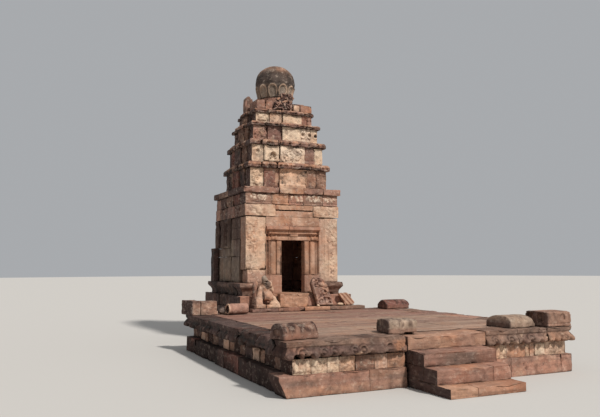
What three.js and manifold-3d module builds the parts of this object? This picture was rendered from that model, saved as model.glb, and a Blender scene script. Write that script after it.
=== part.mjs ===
import * as THREE from 'three';
import { mergeVertices } from 'three/addons/utils/BufferGeometryUtils.js';
import Module from 'manifold-3d';

// A small ruined stone shrine: a moulded platform with front steps, and behind it a tower that
// holds one hollow shrine room under four stepped tiers and a round dome.
// All sizes are in millimetres, +Z is up and the door faces -Y.
// Heights are counted from the ground, x from the axis of the steps and the door, and y from the
// front plane of the platform. The whole group is moved to the centre of its footprint at the end.

const GAP = 0.3;

const PLATFORM = {
  halfWidth: 2690,
  depth: 5580,
  baseTop: 305,
  friezeTop: 520,
  filletBottom: 690,
  top: 770,
  baseInset: 25,
  friezeInset: 125,
  lip: 30,
  courseDepth: 200,
  eaveDepth: 480,
  bayInnerLeft: -710,
  bayInnerRight: 785,
  shiftedBaseLeft: -2790,
  shiftedBlockDepth: 420,
};

const STEPS = {
  left: -668,
  right: 682,
  fronts: [-960, -660, -354],
  tops: [137, 348, 551],
};

const TOP_STEP = { left: -700, right: 775, front: 0, top: 755 };

const TOWER = {
  axisY: 7030,
  plinthHalfX: 1440,
  plinthBack: 1430,
  plinthToe: 50,
  plinthToeTop: 305,
  plinthTop: 850,
  baseHalfX: 1435,
  baseHalfY: 1430,
  baseTop: 1115,
  neckInset: 190,
  neckTop: 1195,
  mouldingEdge: 1330,
  mouldingTop: 1410,
  mouldingHalfX: 1300,
  mouldingHalfY: 1310,
  wallHalfX: 1210,
  wallHalfY: 1150,
  wallThick: 360,
  wallTop: 2985,
  pilasterOut: 60,
  pilasterWidth: 300,
  floorTop: 1155,
};

const BACK_CORNER_BLOCK = { out: 150, width: 260, top: 2260 };

const KERB = { left: -1240, right: 1650, front: 5300, top: 850 };

const DOOR = {
  halfWidth: 300,
  frameHalf: 700,
  frameDepth: 200,
  frameOut: 20,
  openingTop: 2420,
  lintelTop: 2750,
  lintelEave: 2655,
  lintelOut: 70,
  stoneTop: 3143,
  stoneInset: 10,
};

const DOOR_STEP = { left: -525, right: 215, front: 5420, back: 5599.7, top: 1165 };

const BEAM = { halfX: 1235, halfY: 1175, top: 3270 };
const ENTABLATURE = { halfX: 1215, halfY: 1155, top: 3545 };
const MAIN_SLAB = { halfX: 1280, halfY: 1210, top: 3692 };

const BAY_STEP = 35;
const TIERS = [
  { halfX: 1020, halfY: 925, wallTop: 4180, top: 4335, overhang: 75, outer: 0.67, inner: 0.275 },
  { halfX: 955, halfY: 855, wallTop: 4760, top: 4905, overhang: 70, outer: 0.67, inner: 0.28 },
  { halfX: 875, halfY: 720, wallTop: 5270, top: 5375, overhang: 65, outer: 0.58, inner: 0.16 },
  { halfX: 770, halfY: 625, wallTop: 5620, top: 5720, overhang: 50, outer: 0.57, inner: 0.16 },
];

const DOME = {
  slabHalfX: 610, slabHalfY: 490, slabTop: 5970, neckRadius: 420, neckTop: 6130, height: 900, sides: 36,
};

const STONE_LOOKS = {
  tan: { color: 0xa98a6d, roughness: 0.92 },
  pink: { color: 0xb08474, roughness: 0.92 },
  brown: { color: 0x7a6252, roughness: 0.93 },
  dark: { color: 0x4c423c, roughness: 0.95 },
  cream: { color: 0xc9b193, roughness: 0.9 },
};

const wasm = await Module();
wasm.setup();

const temple = new THREE.Group();
const platform = new THREE.Group();
const tower = new THREE.Group();
const roof = new THREE.Group();
const loosePieces = new THREE.Group();
tower.position.y = TOWER.axisY;
roof.position.y = TOWER.axisY;
temple.add(platform, tower, roof, loosePieces);

function addMesh(group, name, geometry, look, position = [0, 0, 0], turnZ = 0) {
  const { color, roughness } = STONE_LOOKS[look];
  const material = new THREE.MeshStandardMaterial({ color, roughness, metalness: 0 });
  const mesh = new THREE.Mesh(geometry, material);
  mesh.name = name;
  mesh.position.set(...position);
  mesh.rotation.z = turnZ;
  group.add(mesh);
  return mesh;
}

function addBlock(group, name, look, [x0, x1], [y0, y1], [z0, z1]) {
  const geometry = new THREE.BoxGeometry(x1 - x0, y1 - y0, z1 - z0);
  const centre = [(x0 + x1) / 2, (y0 + y1) / 2, (z0 + z1) / 2];
  return addMesh(group, name, geometry, look, centre);
}

// One ring of a moulded course: every plan corner moves outwards by the profile's offset,
// only along the edges that carry the moulding.
function offsetRing(plan, carries, offset) {
  const count = plan.length;
  const normals = plan.map(([x, y], i) => {
    const [nx, ny] = plan[(i + 1) % count];
    const length = Math.hypot(nx - x, ny - y);
    return [(ny - y) / length, (x - nx) / length];
  });
  return plan.map(([x, y], i) => {
    const before = (i + count - 1) % count;
    const pushBefore = carries[before] ? offset : 0;
    const pushAfter = carries[i] ? offset : 0;
    return [
      x + normals[before][0] * pushBefore + normals[i][0] * pushAfter,
      y + normals[before][1] * pushBefore + normals[i][1] * pushAfter,
    ];
  });
}

// A closed solid that follows a right-angled plan (counter-clockwise) and a profile of
// [offset, height] pairs from its bottom to its top.
function mouldedSolid(plan, profile, carries = plan.map(() => true)) {
  const positions = [];
  const indices = [];
  const count = plan.length;
  const rings = profile.map(([offset]) => offsetRing(plan, carries, offset));
  rings.forEach((ring, level) => {
    ring.forEach(([x, y]) => positions.push(x, y, profile[level][1]));
  });
  for (let level = 0; level < rings.length - 1; level += 1) {
    for (let i = 0; i < count; i += 1) {
      const a = level * count + i;
      const b = level * count + ((i + 1) % count);
      indices.push(a, b, b + count, a, b + count, a + count);
    }
  }
  const last = rings.length - 1;
  const asPoints = (ring) => ring.map(([x, y]) => new THREE.Vector2(x, y));
  for (const [a, b, c] of THREE.ShapeUtils.triangulateShape(asPoints(rings[0]), [])) {
    indices.push(a, c, b);
  }
  for (const [a, b, c] of THREE.ShapeUtils.triangulateShape(asPoints(rings[last]), [])) {
    indices.push(last * count + a, last * count + b, last * count + c);
  }
  const geometry = new THREE.BufferGeometry();
  geometry.setAttribute('position', new THREE.Float32BufferAttribute(positions, 3));
  geometry.setIndex(indices);
  geometry.computeVertexNormals();
  return geometry;
}

function rectangle(x0, x1, y0, y1) {
  return [[x0, y0], [x1, y0], [x1, y1], [x0, y1]];
}

function straight(z0, z1) {
  return [[0, z0], [0, z1]];
}

// The rolled eave of the platform: a flat underside, a short lip, a quarter round and a fillet.
function platformEaveProfile() {
  const reach = PLATFORM.friezeInset + PLATFORM.lip;
  const lipBottom = PLATFORM.friezeTop + 12;
  const lipTop = lipBottom + 35;
  const roundTop = PLATFORM.filletBottom;
  const filletReach = PLATFORM.friezeInset;
  const profile = [[0, PLATFORM.friezeTop + GAP], [reach - 25, lipBottom], [reach, lipBottom + 6]];
  const segments = 4;
  for (let i = 0; i <= segments; i += 1) {
    const angle = (i / segments) * (Math.PI / 2);
    const offset = filletReach - 20 + (reach - filletReach + 20) * Math.cos(angle);
    profile.push([offset, lipTop + (roundTop - lipTop) * Math.sin(angle)]);
  }
  profile.push([filletReach, roundTop + 4], [filletReach, PLATFORM.top]);
  return profile;
}

// The rolled eave above a tier wall: out to the lip, then a rounded back up to the next wall.
function tierEaveProfile(bottom, top, overhang) {
  const lipBottom = bottom + 6;
  const lipTop = bottom + (top - bottom) * 0.35;
  const profile = [[0, bottom + GAP], [overhang - 12, lipBottom], [overhang, lipBottom + 10]];
  const segments = 4;
  for (let i = 0; i <= segments; i += 1) {
    const angle = (i / segments) * (Math.PI / 2);
    profile.push([
      overhang * (0.1 + 0.9 * Math.cos(angle)),
      lipTop + (top - lipTop) * Math.sin(angle),
    ]);
  }
  return profile;
}

// A plan with five bays on each face, each bay standing a little further out than the last.
function steppedPlan(halfX, halfY, outer, inner, step) {
  const side = (half) => [half * inner, half * outer];
  const [bx, ax] = side(halfX);
  const [by, ay] = side(halfY);
  const frontFace = [
    [-halfX, -halfY], [-ax, -halfY], [-ax, -halfY - step], [-bx, -halfY - step],
    [-bx, -halfY - 2 * step], [bx, -halfY - 2 * step], [bx, -halfY - step],
    [ax, -halfY - step], [ax, -halfY],
  ];
  const rightFace = [
    [halfX, -halfY], [halfX, -ay], [halfX + step, -ay], [halfX + step, -by],
    [halfX + 2 * step, -by], [halfX + 2 * step, by], [halfX + step, by],
    [halfX + step, ay], [halfX, ay],
  ];
  const opposite = (points) => points.map(([x, y]) => [-x, -y]);
  return [...frontFace, ...rightFace, ...opposite(frontFace), ...opposite(rightFace)];
}

function toManifold(geometry) {
  const bare = geometry.clone();
  bare.deleteAttribute('normal');
  bare.deleteAttribute('uv');
  const merged = mergeVertices(bare, 1e-3);
  return new wasm.Manifold(new wasm.Mesh({
    numProp: 3,
    vertProperties: new Float32Array(merged.attributes.position.array),
    triVerts: new Uint32Array(merged.index.array),
  }));
}

function fromManifold(solid) {
  const mesh = solid.getMesh();
  const geometry = new THREE.BufferGeometry();
  geometry.setAttribute('position', new THREE.BufferAttribute(mesh.vertProperties, 3));
  geometry.setIndex(new THREE.BufferAttribute(mesh.triVerts, 1));
  geometry.computeVertexNormals();
  return geometry;
}

function box(x0, x1, y0, y1, z0, z1) {
  const geometry = new THREE.BoxGeometry(x1 - x0, y1 - y0, z1 - z0);
  return geometry.translate((x0 + x1) / 2, (y0 + y1) / 2, (z0 + z1) / 2);
}

function ellipsoid([cx, cy, cz], [rx, ry, rz]) {
  const geometry = new THREE.SphereGeometry(1, 14, 10);
  geometry.rotateX(Math.PI / 2);
  geometry.scale(rx, ry, rz);
  return geometry.translate(cx, cy, cz);
}

// An outline in x and z, given a depth along y from the front face.
function uprightSlab(points, depth) {
  const shape = new THREE.Shape(points.map(([x, z]) => new THREE.Vector2(x, z)));
  const geometry = new THREE.ExtrudeGeometry(shape, { depth, bevelEnabled: false });
  geometry.rotateX(Math.PI / 2);
  return geometry.translate(0, depth, 0);
}

// Platform: full courses of masonry whose tongue at the back meets the tower. The bays beside the
// steps stand forward and the stair well between them stays open for the step stones.
const TONGUE_HALF = 1500;

function platformPlan(inset, frontY, tongueHalf = TONGUE_HALF) {
  const half = PLATFORM.halfWidth - inset;
  const back = PLATFORM.depth - inset;
  return [
    [-half, frontY], [half, frontY], [half, back], [tongueHalf, back],
    [tongueHalf, PLATFORM.depth], [-tongueHalf, PLATFORM.depth], [-tongueHalf, back],
    [-half, back],
  ];
}

function coursePlan(inset, leftEdge) {
  const [frontLeft, frontRight, ...rest] = platformPlan(inset, inset);
  const wellBack = PLATFORM.courseDepth;
  const { bayInnerLeft, bayInnerRight, shiftedBlockDepth } = PLATFORM;
  const corner = leftEdge === frontLeft[0] ? [frontLeft] : [
    [leftEdge, inset + shiftedBlockDepth], [leftEdge, inset],
  ];
  const besideCorner = leftEdge === frontLeft[0] ? []
    : [[frontLeft[0], inset + shiftedBlockDepth]];
  return [
    ...corner, [bayInnerLeft, inset], [bayInnerLeft, wellBack], [bayInnerRight, wellBack],
    [bayInnerRight, inset], frontRight, ...rest, ...besideCorner,
  ];
}

function addPlatform() {
  const { baseTop, friezeTop, filletBottom, top, baseInset, friezeInset, halfWidth } = PLATFORM;
  const baseCourse = coursePlan(baseInset, PLATFORM.shiftedBaseLeft);
  addMesh(platform, 'platform_base_course', mouldedSolid(baseCourse, straight(0, baseTop)), 'pink');
  const frieze = coursePlan(friezeInset, friezeInset - halfWidth);
  const friezeHeights = straight(baseTop + GAP, friezeTop);
  addMesh(platform, 'platform_frieze', mouldedSolid(frieze, friezeHeights), 'tan');
  const core = platformPlan(PLATFORM.courseDepth, PLATFORM.courseDepth);
  const coreHeights = straight(friezeTop + GAP, filletBottom);
  addMesh(platform, 'platform_core', mouldedSolid(core, coreHeights), 'brown');
  const inner = PLATFORM.eaveDepth + GAP;
  const paving = platformPlan(inner, inner, TONGUE_HALF - GAP);
  const pavingHeights = straight(filletBottom + GAP, top);
  addMesh(platform, 'platform_paving', mouldedSolid(paving, pavingHeights), 'pink');
  addEaves();
}

function sideRunPlan(outer, innerX, frontY, backY) {
  const innerY = PLATFORM.depth - (PLATFORM.halfWidth - innerX);
  const stop = TONGUE_HALF + GAP;
  return [
    [innerX, frontY], [outer, frontY], [outer, backY], [stop, backY], [stop, innerY],
    [innerX, innerY],
  ];
}

function mirrorPlan(plan) {
  return plan.map(([x, y]) => [-x, y]).reverse();
}

// The edge marks that go with a mirrored plan.
function mirrorEdges(carries) {
  return [...carries.slice(0, -1).reverse(), carries[carries.length - 1]];
}

function addEaves() {
  const profile = platformEaveProfile();
  const face = PLATFORM.halfWidth - PLATFORM.friezeInset;
  const frontY = PLATFORM.friezeInset;
  const deep = PLATFORM.eaveDepth;
  const frontLeft = rectangle(-face, PLATFORM.bayInnerLeft, frontY, deep);
  const frontRight = rectangle(PLATFORM.bayInnerRight, face, frontY, deep);
  const side = sideRunPlan(face, PLATFORM.halfWidth - deep, deep + GAP,
    PLATFORM.depth - PLATFORM.friezeInset);
  const sideCarries = [false, true, true, false, false, false];
  addEave('front_left', frontLeft, [true, false, false, true]);
  addEave('front_right', frontRight, [true, true, false, false]);
  addEave('right', side, sideCarries);
  addEave('left', mirrorPlan(side), mirrorEdges(sideCarries));

  function addEave(place, plan, carries) {
    const geometry = eaveOverCore(mouldedSolid(plan, profile, carries));
    addMesh(platform, `platform_eave_${place}`, geometry, 'dark');
  }
}

// The eave stones bear on the frieze in front and on the core behind, so their underside
// is stepped up over the core.
function eaveOverCore(geometry) {
  const inner = PLATFORM.courseDepth - GAP;
  const half = PLATFORM.halfWidth - inner;
  const back = PLATFORM.depth - inner;
  const tongue = TONGUE_HALF + GAP;
  const clearance = PLATFORM.filletBottom + GAP;
  const main = box(-half, half, inner, back, 0, clearance);
  const neck = box(-tongue, tongue, back - 1, PLATFORM.depth + 200, 0, clearance);
  return fromManifold(toManifold(geometry).subtract(toManifold(main)).subtract(toManifold(neck)));
}

function addSteps() {
  const back = PLATFORM.courseDepth - GAP;
  STEPS.fronts.forEach((front, i) => {
    const bottom = i === 0 ? 0 : STEPS.tops[i - 1] + GAP;
    addBlock(platform, `step_${i + 1}`, i === 1 ? 'tan' : 'pink',
      [STEPS.left, STEPS.right], [front, back], [bottom, STEPS.tops[i]]);
  });
  const { left, right, front, top } = TOP_STEP;
  const z0 = STEPS.tops[2] + GAP;
  const stone = box(left, right, front, PLATFORM.eaveDepth, z0, top);
  const core = box(left - 1, right + 1, back, PLATFORM.eaveDepth + 1, 0, PLATFORM.filletBottom + GAP);
  const geometry = fromManifold(toManifold(stone).subtract(toManifold(core)));
  addMesh(platform, 'top_step_stone', geometry, 'tan');
}

// Tower: solid base courses, then a hollow room with real walls.
function addTowerBase() {
  const front = PLATFORM.depth + GAP - TOWER.axisY;
  const plinth = rectangle(-TOWER.plinthHalfX, TOWER.plinthHalfX, front, TOWER.plinthBack);
  const plinthProfile = [
    [TOWER.plinthToe, 0], [TOWER.plinthToe, TOWER.plinthToeTop],
    [0, TOWER.plinthToeTop + 15], [0, TOWER.plinthTop],
  ];
  const plinthCarries = [false, true, true, true];
  addMesh(tower, 'tower_plinth', mouldedSolid(plinth, plinthProfile, plinthCarries), 'dark');

  addBlock(platform, 'tower_kerb', 'pink', [KERB.left, KERB.right],
    [KERB.front, PLATFORM.depth], [PLATFORM.top + GAP, KERB.top]);

  addBlock(tower, 'tower_base_course', 'brown', [-TOWER.baseHalfX, TOWER.baseHalfX],
    [-TOWER.baseHalfY, TOWER.baseHalfY], [TOWER.plinthTop + GAP, TOWER.baseTop]);

  const inset = TOWER.neckInset;
  const mouldingProfile = [
    [-inset, TOWER.baseTop + GAP], [-inset, TOWER.neckTop], [-inset + 20, TOWER.neckTop + 25],
    [-inset * 0.45, TOWER.neckTop + 70], [-inset * 0.12, TOWER.mouldingEdge - 25],
    [0, TOWER.mouldingEdge], [0, TOWER.mouldingTop],
  ];
  const ring = doorRingPlan(TOWER.mouldingHalfX, TOWER.mouldingHalfY, DOOR.frameHalf + GAP);
  const ringCarries = [true, false, false, false, false, false, false, false, true, true, true, true];
  addMesh(tower, 'tower_base_moulding', mouldedSolid(ring, mouldingProfile, ringCarries), 'brown');

  const step = DOOR_STEP;
  addBlock(platform, 'door_step_block', 'cream', [step.left, step.right],
    [step.front, step.back], [KERB.top + GAP, step.top]);
}

function roomHalf() {
  return {
    x: TOWER.wallHalfX - TOWER.wallThick,
    y: TOWER.wallHalfY - TOWER.wallThick,
  };
}

// A ring round the shrine room that is open in front for the door frame.
function doorRingPlan(halfX, halfY, gapHalf) {
  const room = roomHalf();
  return [
    [-halfX, -halfY], [-gapHalf, -halfY], [-gapHalf, -room.y], [-room.x, -room.y],
    [-room.x, room.y], [room.x, room.y], [room.x, -room.y], [gapHalf, -room.y],
    [gapHalf, -halfY], [halfX, -halfY], [halfX, halfY], [-halfX, halfY],
  ];
}

function addShrineRoom() {
  const room = roomHalf();
  const floorX = room.x - GAP;
  const floorY = room.y - GAP;
  const tongue = DOOR.frameHalf - GAP;
  const tongueFront = -TOWER.wallHalfY - 60;
  const floorPlan = [
    [-tongue, tongueFront], [tongue, tongueFront], [tongue, -floorY], [floorX, -floorY],
    [floorX, floorY], [-floorX, floorY], [-floorX, -floorY], [-tongue, -floorY],
  ];
  const floorHeights = straight(TOWER.baseTop + GAP, TOWER.floorTop);
  addMesh(tower, 'shrine_floor', mouldedSolid(floorPlan, floorHeights), 'brown');

  const wallHeights = straight(TOWER.mouldingTop + GAP, TOWER.wallTop);
  const frontBack = -room.y - GAP;
  const beside = DOOR.frameHalf + GAP;
  const { wallHalfX, wallHalfY, pilasterOut, pilasterWidth } = TOWER;
  const frontRight = [
    [beside, -wallHalfY], [wallHalfX, -wallHalfY], [wallHalfX, frontBack], [beside, frontBack],
  ];
  addMesh(tower, 'front_wall_right', mouldedSolid(frontRight, wallHeights), 'tan');
  addMesh(tower, 'front_wall_left', mouldedSolid(mirrorPlan(frontRight), wallHeights), 'cream');

  // Each side wall carries a corner pilaster at the back and a shallow middle bay.
  const bayHalf = pilasterWidth;
  const rightWall = [
    [room.x, -room.y], [wallHalfX, -room.y], [wallHalfX, -bayHalf],
    [wallHalfX + pilasterOut, -bayHalf], [wallHalfX + pilasterOut, bayHalf],
    [wallHalfX, bayHalf], [wallHalfX, wallHalfY - pilasterWidth],
    [wallHalfX + pilasterOut, wallHalfY - pilasterWidth], [wallHalfX + pilasterOut, wallHalfY],
    [room.x, wallHalfY],
  ];
  addMesh(tower, 'right_wall', mouldedSolid(rightWall, wallHeights), 'brown');
  addMesh(tower, 'left_wall', leftWallGeometry(mirrorPlan(rightWall), wallHeights), 'dark');

  const backHalf = room.x - GAP;
  const backWall = [
    [-backHalf, room.y], [backHalf, room.y], [backHalf, wallHalfY],
    [bayHalf, wallHalfY], [bayHalf, wallHalfY + pilasterOut], [-bayHalf, wallHalfY + pilasterOut],
    [-bayHalf, wallHalfY], [-backHalf, wallHalfY],
  ];
  addMesh(tower, 'back_wall', mouldedSolid(backWall, wallHeights), 'brown');
}

// The lower part of the left wall's back corner stands further out than the pilaster above it.
function leftWallGeometry(plan, wallHeights) {
  const { wallHalfX, wallHalfY, mouldingTop } = TOWER;
  const { out, width, top } = BACK_CORNER_BLOCK;
  const block = box(-wallHalfX - out, -wallHalfX + 50, wallHalfY - width, wallHalfY,
    mouldingTop + GAP, top);
  return fromManifold(toManifold(mouldedSolid(plan, wallHeights)).add(toManifold(block)));
}

// Door frame: two jambs cut in upright bands, a lintel with a small eave, and the plain stone
// above it that reaches up into the beam course.
function addDoorFrame() {
  const front = -TOWER.wallHalfY - DOOR.frameOut;
  const back = front + DOOR.frameDepth;
  const outer = DOOR.frameHalf - GAP;
  const inner = DOOR.halfWidth;
  const groove = 22;
  const slot = 18;
  const band = (outer - inner) / 3;
  const jamb = [
    [inner, front + groove], [inner + band - slot, front + groove],
    [inner + band - slot, front + 2 * groove], [inner + band, front + 2 * groove],
    [inner + band, front + groove / 2], [inner + 2 * band - slot, front + groove / 2],
    [inner + 2 * band - slot, front + 2 * groove], [inner + 2 * band, front + 2 * groove],
    [inner + 2 * band, front], [outer, front], [outer, back], [inner, back],
  ];
  const heights = straight(TOWER.floorTop + GAP, DOOR.openingTop);
  addMesh(tower, 'door_jamb_right', mouldedSolid(jamb, heights), 'tan');
  addMesh(tower, 'door_jamb_left', mouldedSolid(mirrorPlan(jamb), heights), 'cream');

  const out = DOOR.lintelOut;
  const eave = DOOR.lintelEave;
  const z0 = DOOR.openingTop + GAP;
  const section = new THREE.Shape([
    [back, z0], [back, DOOR.lintelTop], [front - out + 25, DOOR.lintelTop], [front - out, eave + 30],
    [front - out, eave], [front - 10, eave - 10], [front - 10, eave - 95], [front + 25, eave - 100],
    [front + 25, eave - 140], [front + 5, eave - 145], [front + 5, z0],
  ].map(([y, z]) => new THREE.Vector2(y, z)));
  const lintel = new THREE.ExtrudeGeometry(section, { depth: 2 * outer, bevelEnabled: false });
  lintel.rotateX(Math.PI / 2);
  lintel.rotateZ(Math.PI / 2);
  lintel.translate(-outer, 0, 0);
  addMesh(tower, 'door_lintel', lintel, 'tan');

  const stoneFront = -TOWER.wallHalfY - DOOR.stoneInset;
  addBlock(tower, 'wall_over_door', 'brown', [-outer, outer],
    [stoneFront, -roomHalf().y - GAP], [DOOR.lintelTop + GAP, DOOR.stoneTop]);
}

function addUpperCourses() {
  const notchHalf = DOOR.frameHalf;
  const z0 = TOWER.wallTop + GAP;
  const beam = box(-BEAM.halfX, BEAM.halfX, -BEAM.halfY, BEAM.halfY, z0, BEAM.top);
  const notch = box(-notchHalf, notchHalf, -BEAM.halfY - 10, -roomHalf().y, z0 - 10,
    DOOR.stoneTop + GAP);
  const beamGeometry = fromManifold(toManifold(beam).subtract(toManifold(notch)));
  addMesh(tower, 'beam_course', beamGeometry, 'tan');
  addBlock(tower, 'entablature', 'tan', [-ENTABLATURE.halfX, ENTABLATURE.halfX],
    [-ENTABLATURE.halfY, ENTABLATURE.halfY], [BEAM.top + GAP, ENTABLATURE.top]);
  addBlock(tower, 'main_cornice_slab', 'pink', [-MAIN_SLAB.halfX, MAIN_SLAB.halfX],
    [-MAIN_SLAB.halfY, MAIN_SLAB.halfY], [ENTABLATURE.top + GAP, MAIN_SLAB.top]);
}

function addTiers() {
  let bottom = MAIN_SLAB.top;
  TIERS.forEach((tier, i) => {
    const plan = steppedPlan(tier.halfX, tier.halfY, tier.outer, tier.inner, BAY_STEP);
    const wall = mouldedSolid(plan, straight(bottom + GAP, tier.wallTop));
    const cornice = mouldedSolid(plan, tierEaveProfile(tier.wallTop, tier.top, tier.overhang));
    addMesh(roof, `tier_${i + 1}_wall`, wall, i % 2 ? 'tan' : 'pink');
    addMesh(roof, `tier_${i + 1}_cornice`, cornice, 'brown');
    bottom = tier.top;
  });
}

// A square slab carries the round neck. The dome bulges above it and closes in a low crown.
function addDome() {
  addBlock(roof, 'dome_base_slab', 'pink', [-DOME.slabHalfX, DOME.slabHalfX],
    [-DOME.slabHalfY, DOME.slabHalfY], [TIERS[TIERS.length - 1].top + GAP, DOME.slabTop]);
  const neckBottom = DOME.slabTop + GAP;
  const r = DOME.neckRadius;
  const neckHeight = DOME.neckTop - neckBottom;
  const neck = new THREE.LatheGeometry([[0, 0], [r, 0], [r, neckHeight], [0, neckHeight]]
    .map(([x, y]) => new THREE.Vector2(x, y)), DOME.sides);
  neck.rotateX(Math.PI / 2);
  addMesh(roof, 'dome_neck', neck, 'pink', [0, 0, neckBottom]);

  const curve = new THREE.SplineCurve([
    [438, 0], [485, 120], [512, 320], [508, 470], [465, 640], [365, 775], [200, 875], [0, DOME.height],
  ].map(([x, y]) => new THREE.Vector2(x, y)));
  const outline = [new THREE.Vector2(0, 0), ...curve.getPoints(16)];
  const dome = new THREE.LatheGeometry(outline, DOME.sides);
  dome.rotateX(Math.PI / 2);
  addMesh(roof, 'dome', dome, 'dark', [0, 0, DOME.neckTop + GAP]);
}

function addCrownFragments() {
  const seat = TIERS[TIERS.length - 1].top + GAP;
  const upright = [
    [-110, 0], [65, 0], [65, 150], [60, 300], [45, 420], [-10, 470], [-75, 430], [-115, 280],
  ];
  addMesh(roof, 'crown_fragment_left', uprightSlab(upright, 240), 'tan', [-680, 30, seat]);
  const carved = [
    [-300, 0], [290, 0], [295, 120], [250, 190], [265, 300], [170, 400], [60, 425], [-40, 380],
    [-130, 400], [-220, 330], [-240, 220], [-295, 150],
  ];
  addMesh(roof, 'crown_fragment_carved', uprightSlab(carved, 150), 'cream', [0, -645, seat]);
  addBlock(roof, 'crown_slab_right', 'pink', [440, 760], [-640, -500], [seat, seat + 200]);
}

// A coping stone: flat underneath, short upright sides and a half-round back, lying along x.
function copingGeometry(length, width, height, upright) {
  const half = width / 2;
  const section = new THREE.Shape();
  section.moveTo(-half, 0);
  section.lineTo(half, 0);
  section.lineTo(half, upright);
  section.absellipse(0, upright, half, height - upright, 0, Math.PI, false);
  section.closePath();
  const geometry = new THREE.ExtrudeGeometry(section, {
    depth: length, bevelEnabled: false, curveSegments: 10,
  });
  geometry.rotateX(Math.PI / 2);
  geometry.rotateZ(Math.PI / 2);
  return geometry.translate(-length / 2, 0, 0);
}

const COPINGS = [
  { x: -2380, y: 420, length: 640, width: 370, height: 240, upright: 60, look: 'tan', turn: 0.2 },
  { x: -598, y: 463, length: 510, width: 485, height: 225, upright: 150, look: 'tan', turn: -0.15 },
  { x: 1670, y: 410, length: 640, width: 545, height: 205, upright: 80, look: 'tan', turn: 0.1 },
  { x: 2400, y: 275, length: 560, width: 530, height: 260, upright: 190, look: 'cream', turn: 0 },
  { x: 2340, y: 5130, length: 690, width: 440, height: 240, upright: 90, look: 'pink', turn: 0 },
];

function addLoosePieces() {
  const seat = PLATFORM.top + GAP;
  COPINGS.forEach(({ x, y, length, width, height, upright, look, turn }, i) => {
    const geometry = copingGeometry(length, width, height, upright);
    addMesh(loosePieces, `coping_stone_${i + 1}`, geometry, look, [x, y, seat], turn);
  });
  const cornerPlan = [[-2680, 5060], [-2500, 5065], [-2500, 5560], [-2790, 5560]];
  addMesh(loosePieces, 'corner_block_1', mouldedSolid(cornerPlan, straight(seat, seat + 310)), 'pink');
  addBlock(loosePieces, 'corner_block_2', 'tan', [-2480, -2105], [5080, 5450], [seat, seat + 295]);

  const radius = 125;
  const length = 480;
  const drum = new THREE.CylinderGeometry(radius, radius, length, 20);
  drum.rotateZ(Math.PI / 2);
  const bed = box(-length, length, -radius * 2, radius * 2, -radius * 2, -radius + 12);
  const resting = fromManifold(toManifold(drum).subtract(toManifold(bed)));
  const drumSeat = seat + radius - 12;
  addMesh(loosePieces, 'socketed_stone', resting, 'brown', [-1690, 5050, drumSeat], 0.12);
}

// The weathered seated figure beside the door: a base slab, crossed legs, a round belly and the
// stump of the upper body, joined as the one stone they are carved from.
function addFigureAndSteles() {
  const seat = KERB.top + GAP;
  const parts = [
    box(-320, 320, -130, 130, 0, 95),
    ellipsoid([0, -5, 270], [165, 125, 165]),
    ellipsoid([-215, -10, 250], [115, 115, 190]),
    ellipsoid([190, -20, 170], [150, 110, 110]),
    ellipsoid([-10, 20, 450], [130, 95, 130]),
    ellipsoid([-150, 15, 500], [85, 80, 150]),
    ellipsoid([110, 30, 430], [80, 75, 130]),
    ellipsoid([30, 10, 610], [105, 95, 125]),
  ].map(toManifold);
  const body = parts.reduce((sum, piece) => sum.add(piece));
  const below = toManifold(box(-600, 600, -600, 600, -600, 0));
  addMesh(loosePieces, 'seated_figure', fromManifold(body.subtract(below)), 'brown',
    [-880, 5440, seat]);

  const stele = [
    [-245, 0], [197, 0], [185, 60], [110, 280], [40, 490], [-50, 620], [-171, 690], [-305, 685],
    [-384, 625], [-418, 530], [-330, 250],
  ];
  addMesh(loosePieces, 'carved_stele', uprightSlab(stele, 150), 'tan', [700, 5430, seat]);
  const slab = [[-115, 0], [130, 0], [165, 70], [-50, 314], [-295, 307]];
  addMesh(loosePieces, 'leaning_slab', uprightSlab(slab, 120), 'cream', [1300, 5430, seat]);
}

addPlatform();
addSteps();
addTowerBase();
addShrineRoom();
addDoorFrame();
addUpperCourses();
addTiers();
addDome();
addCrownFragments();
addLoosePieces();
addFigureAndSteles();

// The origin lies on the ground at the centre of the footprint.
const eastEdge = PLATFORM.halfWidth + PLATFORM.lip;
const northEdge = TOWER.axisY + TOWER.plinthBack + TOWER.plinthToe;
const centreX = (PLATFORM.shiftedBaseLeft + eastEdge) / 2;
const centreY = (STEPS.fronts[0] + northEdge) / 2;
temple.position.set(-centreX, -centreY, 0);

export default temple;
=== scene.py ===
import itertools
import math

import bpy
import numpy as np
from mathutils import Matrix, Vector


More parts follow.
